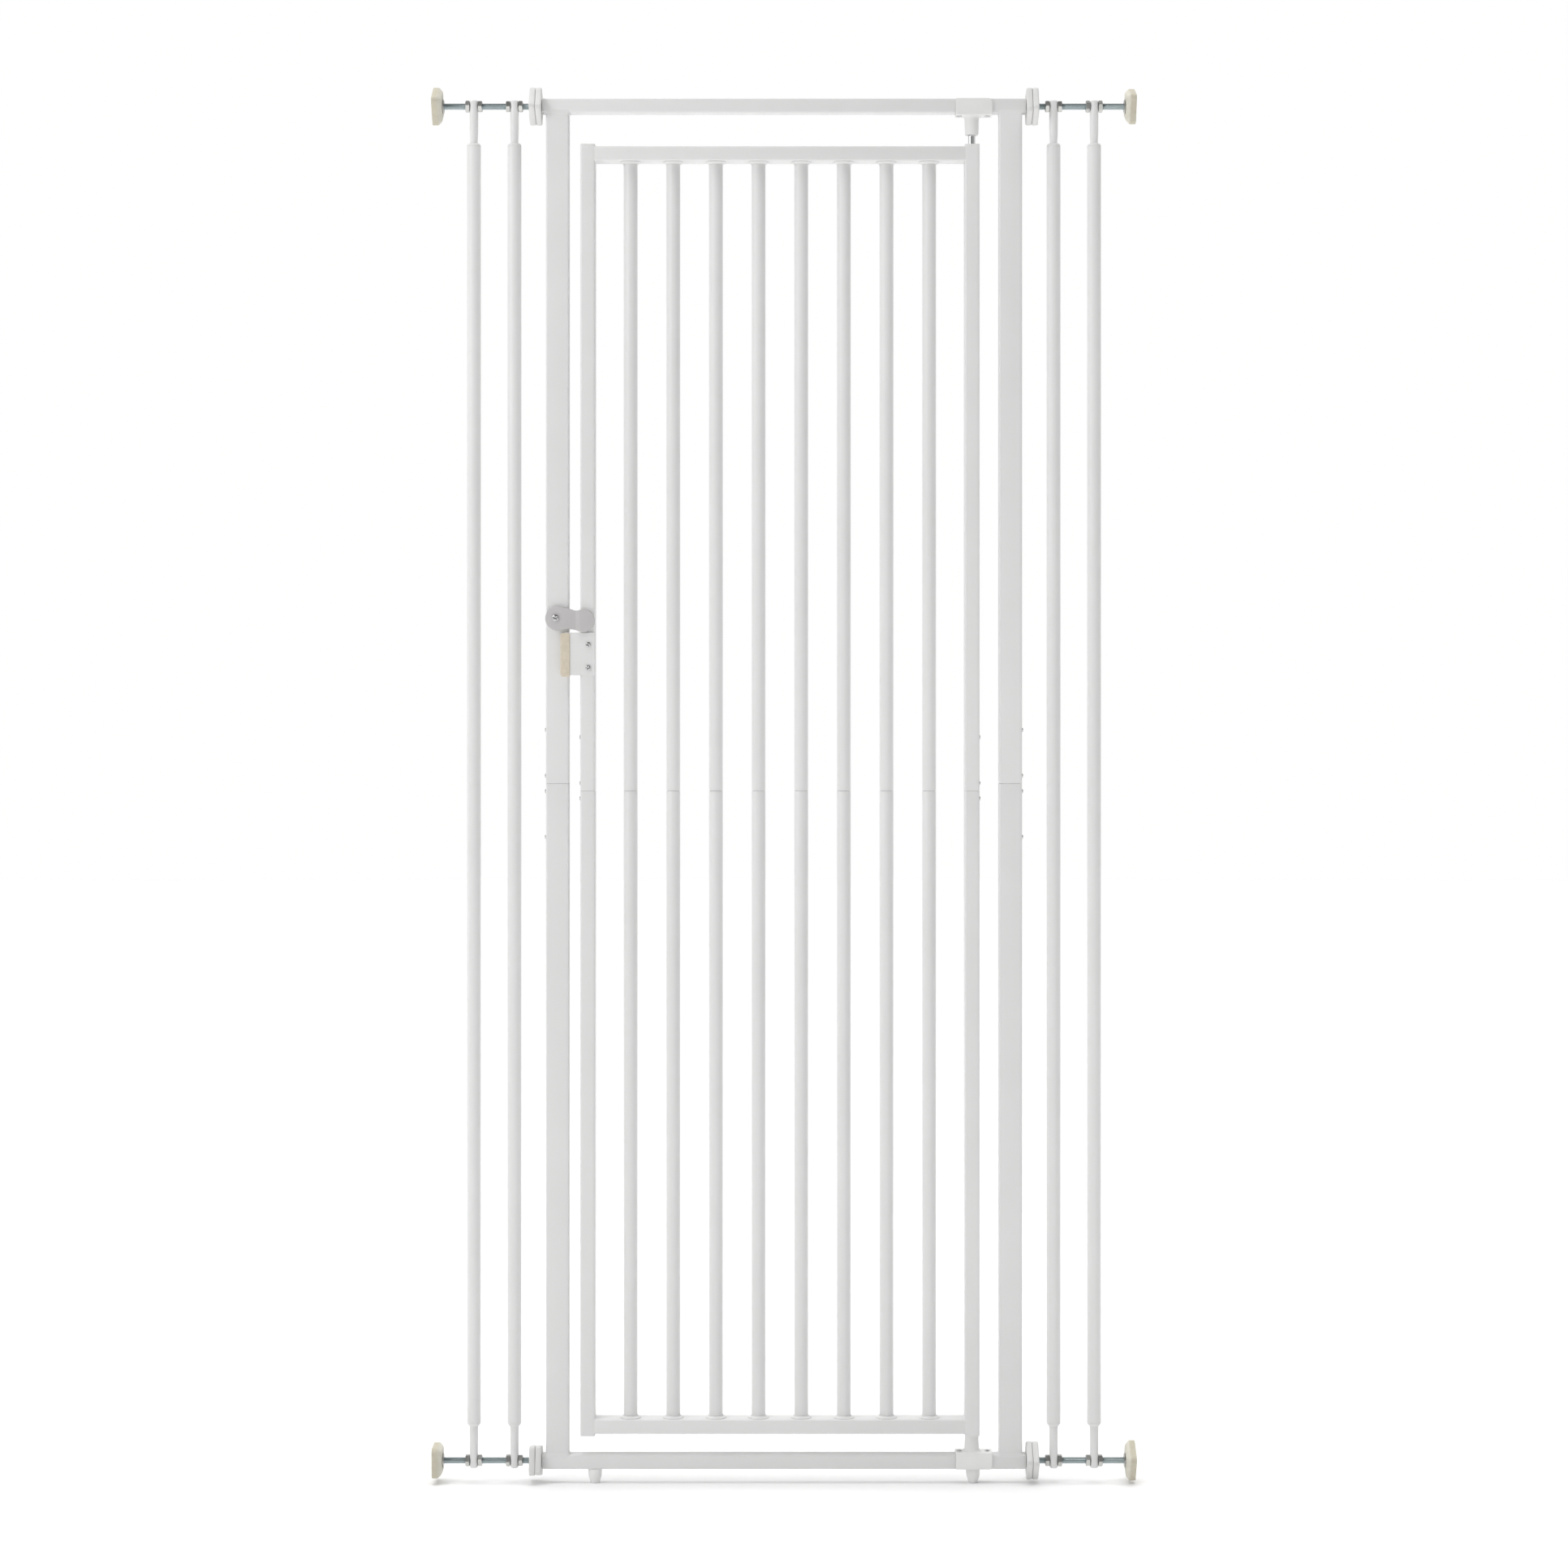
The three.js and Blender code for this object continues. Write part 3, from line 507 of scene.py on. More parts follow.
# The room: pale behind the object and below, dimmer in front and overhead.
back = wt.nodes.new("ShaderNodeMapRange")
back.inputs["From Min"].default_value = -0.4
back.inputs["From Max"].default_value = 0.2
back.inputs["To Min"].default_value = 0.0
back.inputs["To Max"].default_value = 1.0
wt.links.new(sep.outputs["Y"], back.inputs["Value"])
up = wt.nodes.new("ShaderNodeMapRange")
up.inputs["From Min"].default_value = 0.1
up.inputs["From Max"].default_value = 0.9
up.inputs["To Min"].default_value = 0.0
up.inputs["To Max"].default_value = 1.0
wt.links.new(sep.outputs["Z"], up.inputs["Value"])
level = wmath("ADD", wmath("MULTIPLY", back.outputs["Result"], 0.46), 0.22)
level = wmath("MULTIPLY", level, wmath("SUBTRACT", 1.0, wmath("MULTIPLY", up.outputs["Result"], 0.18)))
level = wmath("MULTIPLY", level, wmath("SUBTRACT", 1.0, wmath("MULTIPLY", sep.outputs["X"], 0.16)))
path = wt.nodes.new("ShaderNodeLightPath")
seen = wt.nodes.new("ShaderNodeMix")
seen.data_type = "FLOAT"
wt.links.new(path.outputs["Is Camera Ray"], seen.inputs["Factor"])
wt.links.new(level, seen.inputs["A"])
seen.inputs["B"].default_value = 1.0
wt.links.new(seen.outputs["Result"], bg.inputs["Strength"])
bg.inputs["Color"].default_value = (1.0, 1.0, 0.998, 1)


def area(name, loc, target, size, power, color=(1, 1, 1)):
    d = bpy.data.lights.new(name, "AREA")
    d.shape = "RECTANGLE"
    d.size, d.size_y = size
    d.energy = power
    d.color = color
    o = bpy.data.objects.new(name, d)
    scene.collection.objects.link(o)
    o.location = loc
    o.rotation_euler = (Vector(target) - Vector(loc)).to_track_quat("-Z", "Y").to_euler()
    return o


area("key_left", (-3.0, -2.2, 2.9), (0, 0, 1.3), (1.6, 2.2), 45)
area("fill_right", (3.0, -2.8, 2.8), (0, 0, 1.3), (1.4, 2.0), 4)
area("top", (0.0, -0.3, 4.2), (0, 0, 0), (3.2, 3.2), 10).visible_glossy = False
sky = bpy.data.lights.new("ceiling", "SUN")
sky.energy = 2.12
sky.angle = math.radians(60)
sky_ob = bpy.data.objects.new("ceiling", sky)
scene.collection.objects.link(sky_ob)
sky_ob.location = (0, 0, 5)
sky_ob.visible_glossy = False

# Floor
fs = Shell()
fs.v = [(-14000, -14000, 0), (14000, -14000, 0), (14000, 14000, 0), (-14000, 14000, 0)]
fs.f = [(0, 1, 2, 3)]
fm = to_mesh("floor", fs)
floor = bpy.data.objects.new("floor", fm)
scene.collection.objects.link(floor)
fmat, fnt, fp = material("floor_paint")
fn = noise(fnt, 3.0, 3, 0.5)
fnt.links.new(ramp(fnt, fn, [(0.3, (0.95, 0.95, 0.95)), (0.7, (0.96, 0.96, 0.958))]), fp.inputs["Base Color"])
fnt.links.new(spread(fnt, noise(fnt, 40, 3), 0.82, 0.9), fp.inputs["Roughness"])
fp.inputs["Specular IOR Level"].default_value = 0.1
floor.data.materials.append(fmat)


# ------------------------------------------------------------------ frame
def weld_bead(name, w, h, r, t0, t1, axis, c, body, grow=1.1, flush=0.2):
    """Ground weld round a tube's end: proud on the two short sides, flush with the faces on the others."""
    s = Shell()
    rings = []
    steps = [(0.0, 1.0), (0.28, 0.98), (0.5, 0.66), (0.7, 0.34), (0.86, 0.12), (1.0, -0.06)]
    for u, g in steps:
        gx, gy = (grow * g, -flush * g) if g > 0 else (g, g)
        ring = rrect(w + 2 * gx, h + 2 * gy, r, 10)
        k = len(ring)
        wob = 1 + 0.004 * np.sin(np.arange(k) * 2.3 + t0) * max(g, 0)
        rings.append(place(ring * wob[:, None], t0 + (t1 - t0) * u, axis, c))
    s.skin(rings)
    return piece(name, s, WELD, body, sharp=60)


for node in ("top_rail", "bottom_rail"):
    lo, hi = B(node)
    zc = (lo[2] + hi[2]) / 2
    piece(
        node + "_tube",
        square_tube(hi[1] - lo[1], hi[2] - lo[2], 2.4, 1.2, lo[0], hi[0], "x", (0, 0, zc)),
        WHITE, "frame", node,
    )

for hand, sx in SIDES:
    for half in ("upper", "lower"):
        node = f"post_{hand}_{half}"
        lo, hi = B(node)
        xc = (lo[0] + hi[0]) / 2
        z0, z1 = (lo[2] - 0.12, hi[2] + 0.3) if half == "upper" else (lo[2] - 0.3, hi[2] + 0.12)
        piece(
            node + "_tube",
            square_tube(hi[0] - lo[0], hi[1] - lo[1], 2.4, 1.2, z0, z1, "z", (xc, 0, 0), e=0.22),
            WHITE, "frame", node,
        )
        # ground weld: fills the rail's rounded edge and leaves a small fillet at each side
        d = 1 if half == "upper" else -1
        end = z1 if d > 0 else z0
        s = Shell()
        steps = ((3.6, 0.0, 0.6), (1.4, 0.5, 0.9), (0.25, 1.0, 1.2), (-0.2, 0.78, 1.5), (-0.55, 0.42, 1.9), (-0.95, 0.18, 2.2), (-1.6, 0.0, 2.4), (-2.4, -0.25, 2.4))
        w, h = hi[0] - lo[0], hi[1] - lo[1]
        s.skin([place(rrect(w + 1.7 * g, h + (0.06 if t > -2 else -0.4), r, 8), end + d * t, "z", (xc, 0, 0)) for t, g, r in steps])
        piece(f"weld_post_{hand}_{half}", s, WHITE, "frame", sharp=60)
    # inner sleeve and its screws
    node = f"post_joiner_{hand}"
    lo, hi = B(node)
    up_lo, up_hi = B(f"post_{hand}_upper")
    xc = (up_lo[0] + up_hi[0]) / 2
    w, d = up_hi[0] - up_lo[0] - 2.6, up_hi[1] - up_lo[1] - 2.6
    piece(
        node + "_sleeve",
        square_tube(w - 0.2, d - 0.2, 1.4, 1.5, lo[2], hi[2], "z", (xc, 0, 0)),
        SLEEVE, "frame", node,
    )
    face = up_hi[0] if sx > 0 else up_lo[0]
    seam = (lo[2] + hi[2]) / 2
    for i, dz in enumerate((66, 9.6, -9.6, -66)):
        screw_head(f"post_screw_{hand}_{i + 1}", (face + sx * 0.1, 0, seam + dz), "x", sx, 2.7, 1.75, "frame", 0.4 + i, shank=2.6)

# rail bushes
for level in LEVELS:
    for hand, sx in SIDES:
        node = f"rail_bush_{level}_{hand}"
        lo, hi = B(node)
        zc = (lo[2] + hi[2]) / 2
        x_in, x_out = (lo[0], hi[0]) if sx > 0 else (hi[0], lo[0])
        c = (0, 0, zc)
        q = 15.2
        n = 7
        s = Shell()
        hole = lambda r: np.array([p / np.linalg.norm(p) * r for p in rrect(17.4, 17.4, 2.4, n)])
        f = x_out - sx * 1.35
        rings = [
            place(hole(4.45), x_in, "x", c),
            place(rrect(q - 0.8, q - 0.8, 1.0, n), x_in, "x", c),
            place(rrect(q, q, 1.2, n), x_in + sx * 2.0, "x", c),
            place(rrect(q, q, 1.2, n), f, "x", c),
            place(rrect(17.2, 17.2, 2.2, n), f, "x", c),
            place(rrect(17.6, 17.6, 2.4, n), f + sx * 0.25, "x", c),
            place(rrect(17.6, 17.6, 2.4, n), x_out - sx * 0.45, "x", c),
            place(rrect(17.2, 17.2, 2.2, n), x_out - sx * 0.1, "x", c),
            place(rrect(16.6, 16.6, 2.0, n), x_out, "x", c),
            place(hole(4.9), x_out, "x", c),
            place(hole(4.45), x_out - sx * 0.5, "x", c),
        ]
        s.skin(rings, loop=True)
        piece(node + "_plug", s, MOULDED, "frame", node)

# feet
for hand, sx in SIDES:
    node = f"foot_{hand}"
    lo, hi = B(node)
    xc = (lo[0] + hi[0]) / 2
    top = B("bottom_rail")[0][2]
    prof = [
        (0.5, 0.9), (3.2, 0.9), (3.8, 0.25), (4.2, 0), (5.0, 0), (5.45, 0.35), (5.75, 0.95), (6.9, 4.4), (7.75, 7.0), (8.05, 8.2),
        (8.25, 10.0), (8.5, 14.0), (8.72, top - 1.1), (8.62, top - 0.35), (8.3, top - 0.02), (3.8, top - 0.02), (3.8, hi[2] - 1), (3.0, hi[2]),
    ]
    piece(node + "_plug", turned(prof, "z", (xc, 0, 0), 56), FOOT, "frame", node, sharp=30)


# hinge brackets: saddle, flared boss and two screws each
def bracket(node, rail, up, screws, mat):
    lo, hi = B(node)
    r_lo, r_hi = B(rail)
    x0, x1, d = lo[0], hi[0], hi[1]
    inner = (r_hi[2] if up > 0 else r_lo[2]) + up * 0.05
    outer = inner + up * 2.65
    end = hi[2] if up > 0 else lo[2]
    far = (r_lo[2] if up > 0 else r_hi[2]) + up * 0.35
    # cheek outline in x, z: one large eased corner at the far right
    pts = []
    rx, rz, n = 4.2, 8.0, 8
    zs = lambda v: v
    for i in range(n + 1):
        a = PI / 2 * i / n
        pts.append((x1 - rx + rx * math.sin(a), far + up * (rz - rz * math.cos(a))))
    for i in range(5):
        a = PI / 2 * i / 4
        pts.append((x1 - 0.8 + 0.8 * math.cos(a), outer - up * (0.8 - 0.8 * math.sin(a))))
    for i in range(5):
        a = PI / 2 * i / 4
        pts.append((x0 + 0.8 - 0.8 * math.sin(a), outer - up * (0.8 - 0.8 * math.cos(a))))
    for i in range(5):
        a = PI / 2 * i / 4
        pts.append((x0 + 1.0 - 1.0 * math.cos(a), far + up * (1.0 - 1.0 * math.sin(a))))
    pts = np.array(pts)
    t = 2.6
    front = to_mesh("b1", slab(pts, -d, -d + t, "y", e=0.7))
    rear = to_mesh("b2", slab(pts, d - t, d, "y", e=0.7))
    fl = rrect(x1 - x0, 2 * d, 0.9, 4) + np.array([(x0 + x1) / 2, 0])
    flange = to_mesh("b3", slab(fl, min(inner, outer), max(inner, outer), "z", e=0.5))
    hx = (B("hinge_pin_upper")[0][0] + B("hinge_pin_upper")[1][0]) / 2
    # boss with flared root, eased mouth and a blind bore
    prof = [(12.0, outer - up * 1.2), (12.0, outer + up * 0.02), (11.2, outer + up * 0.5), (10.3, outer + up * 1.3), (9.5, outer + up * 2.6), (9.05, outer + up * 4.2)]
    prof += [(8.9, outer + up * 6.5), (8.35, end - up * 2.0), (8.1, end - up * 0.8), (7.75, end - up * 0.2), (7.2, end)]
    prof += [(5.2, end), (4.7, end - up * 0.5), (4.7, inner + up * 3.4), (0.3, inner + up * 3.4)]
    boss = to_mesh("b4", turned(prof, "z", (hx, 0, 0), 56))
    me = boolean(flange, [front, rear, boss], "UNION")
    name = node + "_saddle"
    me.name = name
    clean(me, 30)
    add(name, me, mat, "frame", node)
    for i, x in enumerate(screws):
        screw_head(f"{node}_screw_{i + 1}", (x, 0, outer - up * 0.02), "z", up, 3.3, 1.25, "frame", 0.5 + i, shank=2.0)


bracket("hinge_bracket_upper", "top_rail", -1, (216.0, 250.5), MOULDED)
# the lower bracket takes the lighter copy of the plastic, which is painted light
bracket("hinge_bracket_lower", "bottom_rail", 1, (216.0, 250.5), MOULDED_LOWER_PAINTED_LIGHT)


# ------------------------------------------------------------------ latch
def lever():
    lo, hi = B("latch_lever")
    plo, phi = B("latch_pivot_screw")
    px, pz = (plo[0] + phi[0]) / 2, (plo[2] + phi[2]) / 2
    # outline: near lobe, waist, far lobe with its lower corner eased
    out = []

    def arc(cx, cz, r, a0, a1, n):
        for i in range(n + 1):
            a = math.radians(a0 + (a1 - a0) * i / n)
            out.append((cx + r * math.cos(a), cz + r * math.sin(a)))

    arc(-246.7, 1062.2, 14.3, -112, -76, 6)
    arc(-246.7, 1062.2, 14.3, -34, 100, 22)
    out.append((-254.2, 1074.7))
    out.append((-258.5, 1075.3))
    out.append((-263.5, 1077.2))
    arc(-278.7, 1065.3, 14.95, 78, 282, 34)
    out.append((-264.8, 1052.3))
    out.append((-259.5, 1051.7))
    out.append((-255.2, 1050.9))
    pts = np.array(out)
    # resample evenly and round the joins a little
    for _ in range(2):
        pts = np.concatenate([(pts * 0.75 + np.roll(pts, -1, 0) * 0.25)[:, None], (pts * 0.25 + np.roll(pts, -1, 0) * 0.75)[:, None]], 1).reshape(-1, 2)
    seg = np.linalg.norm(np.roll(pts, -1, 0) - pts, axis=1)
    s_at = np.concatenate([[0], np.cumsum(seg)])
    loop = np.vstack([pts, pts[:1]])
    t = np.linspace(0, s_at[-1], 161)[:-1]
    pts = np.stack([np.interp(t, s_at, loop[:, 0]), np.interp(t, s_at, loop[:, 1])], 1)
    e, half = 1.1, 2.25
    s = slab(pts, -half, half, "y", e=e, steps=4)
    me = to_mesh("lever_blank", s)
    hole = to_mesh("lever_hole", turned([(2.75, -10), (2.75, 10)], "y", (px, 0, pz), 40))
    me = boolean(me, [hole], "DIFFERENCE")
    bm = bmesh.new()
    bm.from_mesh(me)
    # planes across the step, so that both faces bend there
    for x in np.arange(-260.5, -248.4, 0.75):
        geom = bm.verts[:] + bm.edges[:] + bm.faces[:]
        bmesh.ops.bisect_plane(bm, geom=geom, plane_co=(x * 0.001, 0, 0), plane_no=(1, 0, 0), dist=1e-7)
    for v in bm.verts:
        x = v.co.x * 1000
        y = v.co.y * 1000
        # the front step sits a little left of the rear one
        u = (x + 256.4) / 5.6 if y < 0 else (x + 258.0) / 5.2
        u = min(max(u, 0), 1)
        u = u * u * (3 - 2 * u) * 0.55 + u * 0.45
        v.co.y = (y + (-11.65 + (-16.6 + 11.65) * u)) * 0.001
    bm.to_mesh(me)
    bm.free()
    me.name = "latch_lever_body"
    clean(me, 34)
    add("latch_lever_body", me, GREY, "latch", "latch_lever")
    return px, pz


px, pz = lever()
lo, hi = B("latch_pivot_screw")
s = Shell()
turned([(2.2, -14.3), (2.2, hi[1] - 1.2), (1.2, hi[1] - 0.2)], "y", (px, 0, pz), 32, s)
piece("latch_pivot_shank", s, SCREW, "frame")
screw_head("latch_pivot_head", (px, -14.15, pz), "y", -1, 4.25, 2.55, "frame", 0.62)
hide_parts("latch_pivot_screw")

# ------------------------------------------------------------------ door
for kind, sx in (("latch", -1), ("hinge", 1)):
    u_lo, u_hi = B(f"door_stile_{kind}_upper")
    xc = (u_lo[0] + u_hi[0]) / 2
    w, d = u_hi[0] - u_lo[0], u_hi[1] - u_lo[1]
    for half in ("upper", "lower"):
        node = f"door_stile_{kind}_{half}"
        lo, hi = B(node)
        cap = 1.5
        z0, z1 = (lo[2] - 0.12, hi[2] - cap) if half == "upper" else (lo[2] + cap, hi[2] + 0.12)
        piece(
            node + "_tube",
            square_tube(w, d, 2.4, 1.2, z0, z1, "z", (xc, 0, 0), e=0.22),
            WHITE_DOOR, "door", node,
        )
        # end cap: a plug with a low dome, drilled for the pin on the hinge side
        up = 1 if half == "upper" else -1
        t = hi[2] - cap if up > 0 else lo[2] + cap
        n = 8
        plug = [
            (3.0, -7.0), (1.5, -6.6), (1.4, 0.05), (0.15, 0.05), (0.0, 0.2), (0.05, 0.75), (0.5, 1.15), (1.6, 1.38), (3.4, 1.5),
        ]
        rings = [place(rrect(w - 2 * i, d - 2 * i, max(2.4 - i, 0.4), n), t + up * a, "z", (xc, 0, 0)) for i, a in plug]
        s = Shell()
        if kind == "hinge":
            base = rrect(w - 6.8, d - 6.8, 0.4, n)
            hole = np.array([p / np.linalg.norm(p) * 4.5 for p in base])
            rings.append(place(hole, t + up * 1.5, "z", (xc, 0, 0)))
            rings.append(place(hole, t - up * 7.0, "z", (xc, 0, 0)))
            s.skin(rings, loop=True)
        else:
            s.skin(rings)
        piece(f"stile_cap_{kind}_{half}", s, MOULDED, "door", sharp=50)
    node = f"stile_joiner_{kind}"
    lo, hi = B(node)
    piece(
        node + "_sleeve",
        square_tube(w - 2.8, d - 2.8, 1.4, 1.5, lo[2], hi[2], "z", (xc, 0, 0)),
        SLEEVE, "door", node,
    )
    face = u_hi[0] if sx > 0 else u_lo[0]
    seam = (lo[2] + hi[2]) / 2
    for i, dz in enumerate((66, 9.4, -9.4)):
        screw_head(f"stile_screw_{kind}_{i + 1}", (face + sx * 0.1, 0, seam + dz), "x", sx, 2.7, 1.75, "door", 0.9 + i, shank=2.6)

BAR_NODES = [f"door_bar_{i}" for i in range(1, 9)]
bar_x = []
for nme in BAR_NODES:
    lo, hi = B(nme)
    bar_x.append((lo[0] + hi[0]) / 2)
seam = (B("door_stile_latch_upper")[0][2] + B("door_stile_latch_lower")[1][2]) / 2

for label, face in (("top", -1), ("bottom", 1)):
    node = f"door_{label}_rail"
    lo, hi = B(node)
    # the node's box also holds the collars, on the side of the bars
    h = 18.0
    zc = hi[2] - h / 2 if face < 0 else lo[2] + h / 2
    edge = zc + face * h / 2
    x0 = B("door_stile_latch_upper")[1][0] + 0.02
    x1 = B("door_stile_hinge_upper")[0][0] - 0.02
    tube = to_mesh("t", square_tube(28.0, h, 2.4, 1.2, x0, x1, "x", (0, 0, zc)))
    holes = Shell()
    for x in bar_x:
        turned([(8.7, edge - face * 3.2), (8.7, edge + face * 3)], "z", (x, 0, 0), 48, holes)
    me = boolean(tube, [to_mesh("h", holes)], "DIFFERENCE")
    me.name = node + "_tube"
    clean(me, 30)
    add(node + "_tube", me, WHITE_DOOR, "door", node)
    # flared collars: a wide thin lip on the rail, waisted to the bar
    for i, x in enumerate(bar_x):
        prof = [
            (8.62, edge + face * 0.02), (12.3, edge + face * 0.02), (12.75, edge + face * 0.3), (12.7, edge + face * 0.75), (12.2, edge + face * 1.1),
            (11.0, edge + face * 1.25), (10.2, edge + face * 1.5), (9.75, edge + face * 2.1), (9.5, edge + face * 2.75), (9.2, edge + face * 3.0), (8.62, edge + face * 2.95),
        ]
        s = turned(prof, "z", (x, 0, 0), 56, loop=True)
        piece(f"collar_{label}_{i + 1}", s, WHITE_DOOR, "door", sharp=45)
    for kind, x, into in (("latch", x0, 1), ("hinge", x1, -1)):
        weld_bead(f"weld_{label}_rail_{kind}", 27.7, h, 2.3, x - into * 1.9, x + into * 1.5, "x", (0, 0, zc), "door", 0.0, -1.0)

for i, x in enumerate(bar_x):
    lo, hi = B(BAR_NODES[i])
    r = (hi[0] - lo[0]) / 2
    piece(f"bar_{i + 1}_lower", round_tube(r, 1.0, lo[2], seam - 0.22, "z", (x, 0, 0)), WHITE_DOOR, "door", BAR_NODES[i])
    piece(f"bar_{i + 1}_upper", round_tube(r, 1.0, seam + 0.22, hi[2], "z", (x, 0, 0)), WHITE_DOOR, "door", BAR_NODES[i])
    s = round_tube(r - 1.06, 1.2, seam - 45, seam + 45, "z", (x, 0, 0), n=40)
    piece(f"bar_{i + 1}_spigot", s, SLEEVE, "door")

for node, up in (("hinge_pin_upper", 1), ("hinge_pin_lower", -1)):
    lo, hi = B(node)
    xc = (lo[0] + hi[0]) / 2
    r = (hi[1] - lo[1]) / 2 + 0.25
    a, b = (lo[2], hi[2]) if up > 0 else (hi[2], lo[2])
    prof = [(r - 0.6, a), (r, a + up * 0.6), (r, b - up * 1.7), (r - 0.25, b - up * 1.2), (r - 1.1, b - up * 0.15), (r - 1.5, b)]
    piece(node + "_rod", turned(prof, "z", (xc, 0, 0), 56), CHROME, "door", node)

# stop plate, buffer and their screws
lo, hi = B("stop_plate")
slo, shi = B("stop_screw_upper")
s_lo2, s_hi2 = B("stop_screw_lower")
sxc = (slo[0] + shi[0]) / 2
zu, zl = (slo[2] + shi[2]) / 2, (s_lo2[2] + s_hi2[2]) / 2
outline = rrect(hi[0] - lo[0], hi[2] - lo[2], 1.6, 6) + np.array([(lo[0] + hi[0]) / 2, (lo[2] + hi[2]) / 2])
blank = to_mesh("p", slab(outline, lo[1], hi[1] + 0.25, "y", e=0.45))
cuts = Shell()
for z in (zu, zl):
    turned([(2.3, lo[1] - 3), (2.3, hi[1] + 3)], "y", (sxc, 0, z), 32, cuts)
me = boolean(blank, [to_mesh("c", cuts)], "DIFFERENCE")
me.name = "stop_plate_body"
clean(me, 30)
add("stop_plate_body", me, WHITE_DOOR, "door", "stop_plate")
for label, z in (("upper", zu), ("lower", zl)):
    s = Shell()
    turned([(1.9, lo[1] - 0.1), (1.9, -9.0), (0.8, -8.1)], "y", (sxc, 0, z), 28, s)
    piece(f"stop_screw_{label}_shank", s, SCREW, "door")
    o = screw_head(f"stop_screw_{label}_head", (sxc, lo[1] - 0.05, z), "y", -1, 3.45, 2.1, "door", 0.35 if label == "upper" else 1.2)
    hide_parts(f"stop_screw_{label}")

blo, bhi = B("stop_buffer")
w, h = bhi[0] - blo[0], bhi[2] - blo[2]
o2 = []
for cx, cz, a0, r in (
    (bhi[0] - 1.4, bhi[2] - 1.4, 0, 1.4),
    (blo[0] + 3.6, bhi[2] - 3.6, 90, 3.6),
    (blo[0] + 3.6, blo[2] + 3.6, 180, 3.6),
    (bhi[0] - 1.4, blo[2] + 1.4, 270, 1.4),
):
    for k in range(8):
        a = math.radians(a0 + 90 * k / 7)
        o2.append((cx + r * math.cos(a), cz + r * math.sin(a)))
body = to_mesh("q", slab(np.array(o2), blo[1], bhi[1], "y", e=1.15, steps=5))
slot = Shell()
slot.skin([place(rrect(20, 80, 0.3, 2) + np.array([lo[0] + 9.9, (lo[2] + hi[2]) / 2]), y, "y") for y in (lo[1] + 0.02, hi[1] + 0.24)])
me = boolean(body, [to_mesh("r", slot)], "DIFFERENCE")
me.name = "stop_buffer_body"
clean(me, 34)
add("stop_buffer_body", me, BEIGE, "door", "stop_buffer")


# ------------------------------------------------------------------ sides
def square_outline(side, r, n=9, m=5):
    """Rounded square as polar samples that also suit a circle: even steps on arcs and sides."""
    q = side / 2 - r
    out = []
    for k in range(4):
        a0 = k * 90
        cx, cy = [(q, q), (-q, q), (-q, -q), (q, -q)][k]
        for i in range(n + 1):
            a = math.radians(a0 + 90 * i / n)
            out.append((cx + r * math.cos(a), cy + r * math.sin(a)))
        nx, ny = [(-q, q), (-q, -q), (q, -q), (q, q)][k]
        a = math.radians(a0 + 90)
        p0 = np.array([cx + r * math.cos(a), cy + r * math.sin(a)])
        p1 = np.array([nx + r * math.cos(a), ny + r * math.sin(a)])
        for i in range(1, m):
            out.append(tuple(p0 + (p1 - p0) * i / m))
    return np.array(out)


def rolled(pts, deg):
    a = math.radians(deg)
    c, s = math.cos(a), math.sin(a)
    return np.stack([pts[:, 0] * c - pts[:, 1] * s, pts[:, 0] * s + pts[:, 1] * c], 1)


def threaded(x0, x1, r, pitch, c, n=26):
    """Right-hand metric thread along X as one closed helical skin."""
    lo, hi = min(x0, x1), max(x0, x1)
    turns = int((hi - lo) / pitch) - 1
    root = r - 0.58
    prof = [(0.0, root), (0.16, root), (0.5, r), (0.64, r)]
    rows = turns * 4
    v, f = [], []
    for i in range(n):
        a = 2 * PI * i / n
        for j in range(rows):
            off, rad = prof[j % 4]
            if j < 3 or j > rows - 4:
                rad = root
            x = lo + 0.4 + pitch * (j // 4 + off + i / n)
            v.append((x, -rad * math.sin(a), rad * math.cos(a)))
    idx = lambda i, j: i * rows + j
    for i in range(n):
        for j in range(rows - 1):
            if i < n - 1:
                f.append((idx(i, j), idx(i + 1, j), idx(i + 1, j + 1), idx(i, j + 1)))
            elif j + 5 < rows:
                f.append((idx(i, j), idx(0, j + 4), idx(0, j + 5), idx(i, j + 1)))
    # ends: follow the helical rim to a centre point
    first = [idx(i, 0) for i in range(n)] + [idx(0, k) for k in (4, 3, 2, 1)]
    last = [idx(i, rows - 1) for i in range(n - 1)] + [idx(n - 1, k) for k in (rows - 1, rows - 2, rows - 3, rows - 4, rows - 5)]
    last = [idx(0, rows - 1)] + [idx(i, rows - 1) for i in range(1, n)] + [idx(n - 1, k) for k in (rows - 2, rows - 3, rows - 4, rows - 5)]
    v.append((lo, 0, 0))
    v.append((hi, 0, 0))
    c0, c1 = len(v) - 2, len(v) - 1
    for a, b in zip(first, first[1:] + first[:1]):
        f.append((c0, a, b))
    for a, b in zip(last, last[1:] + last[:1]):
        f.append((c1, b, a))
    s = Shell()
    s.v = [tuple(np.array(p) + np.array(c)) for p in v]
    s.f = f
    return s


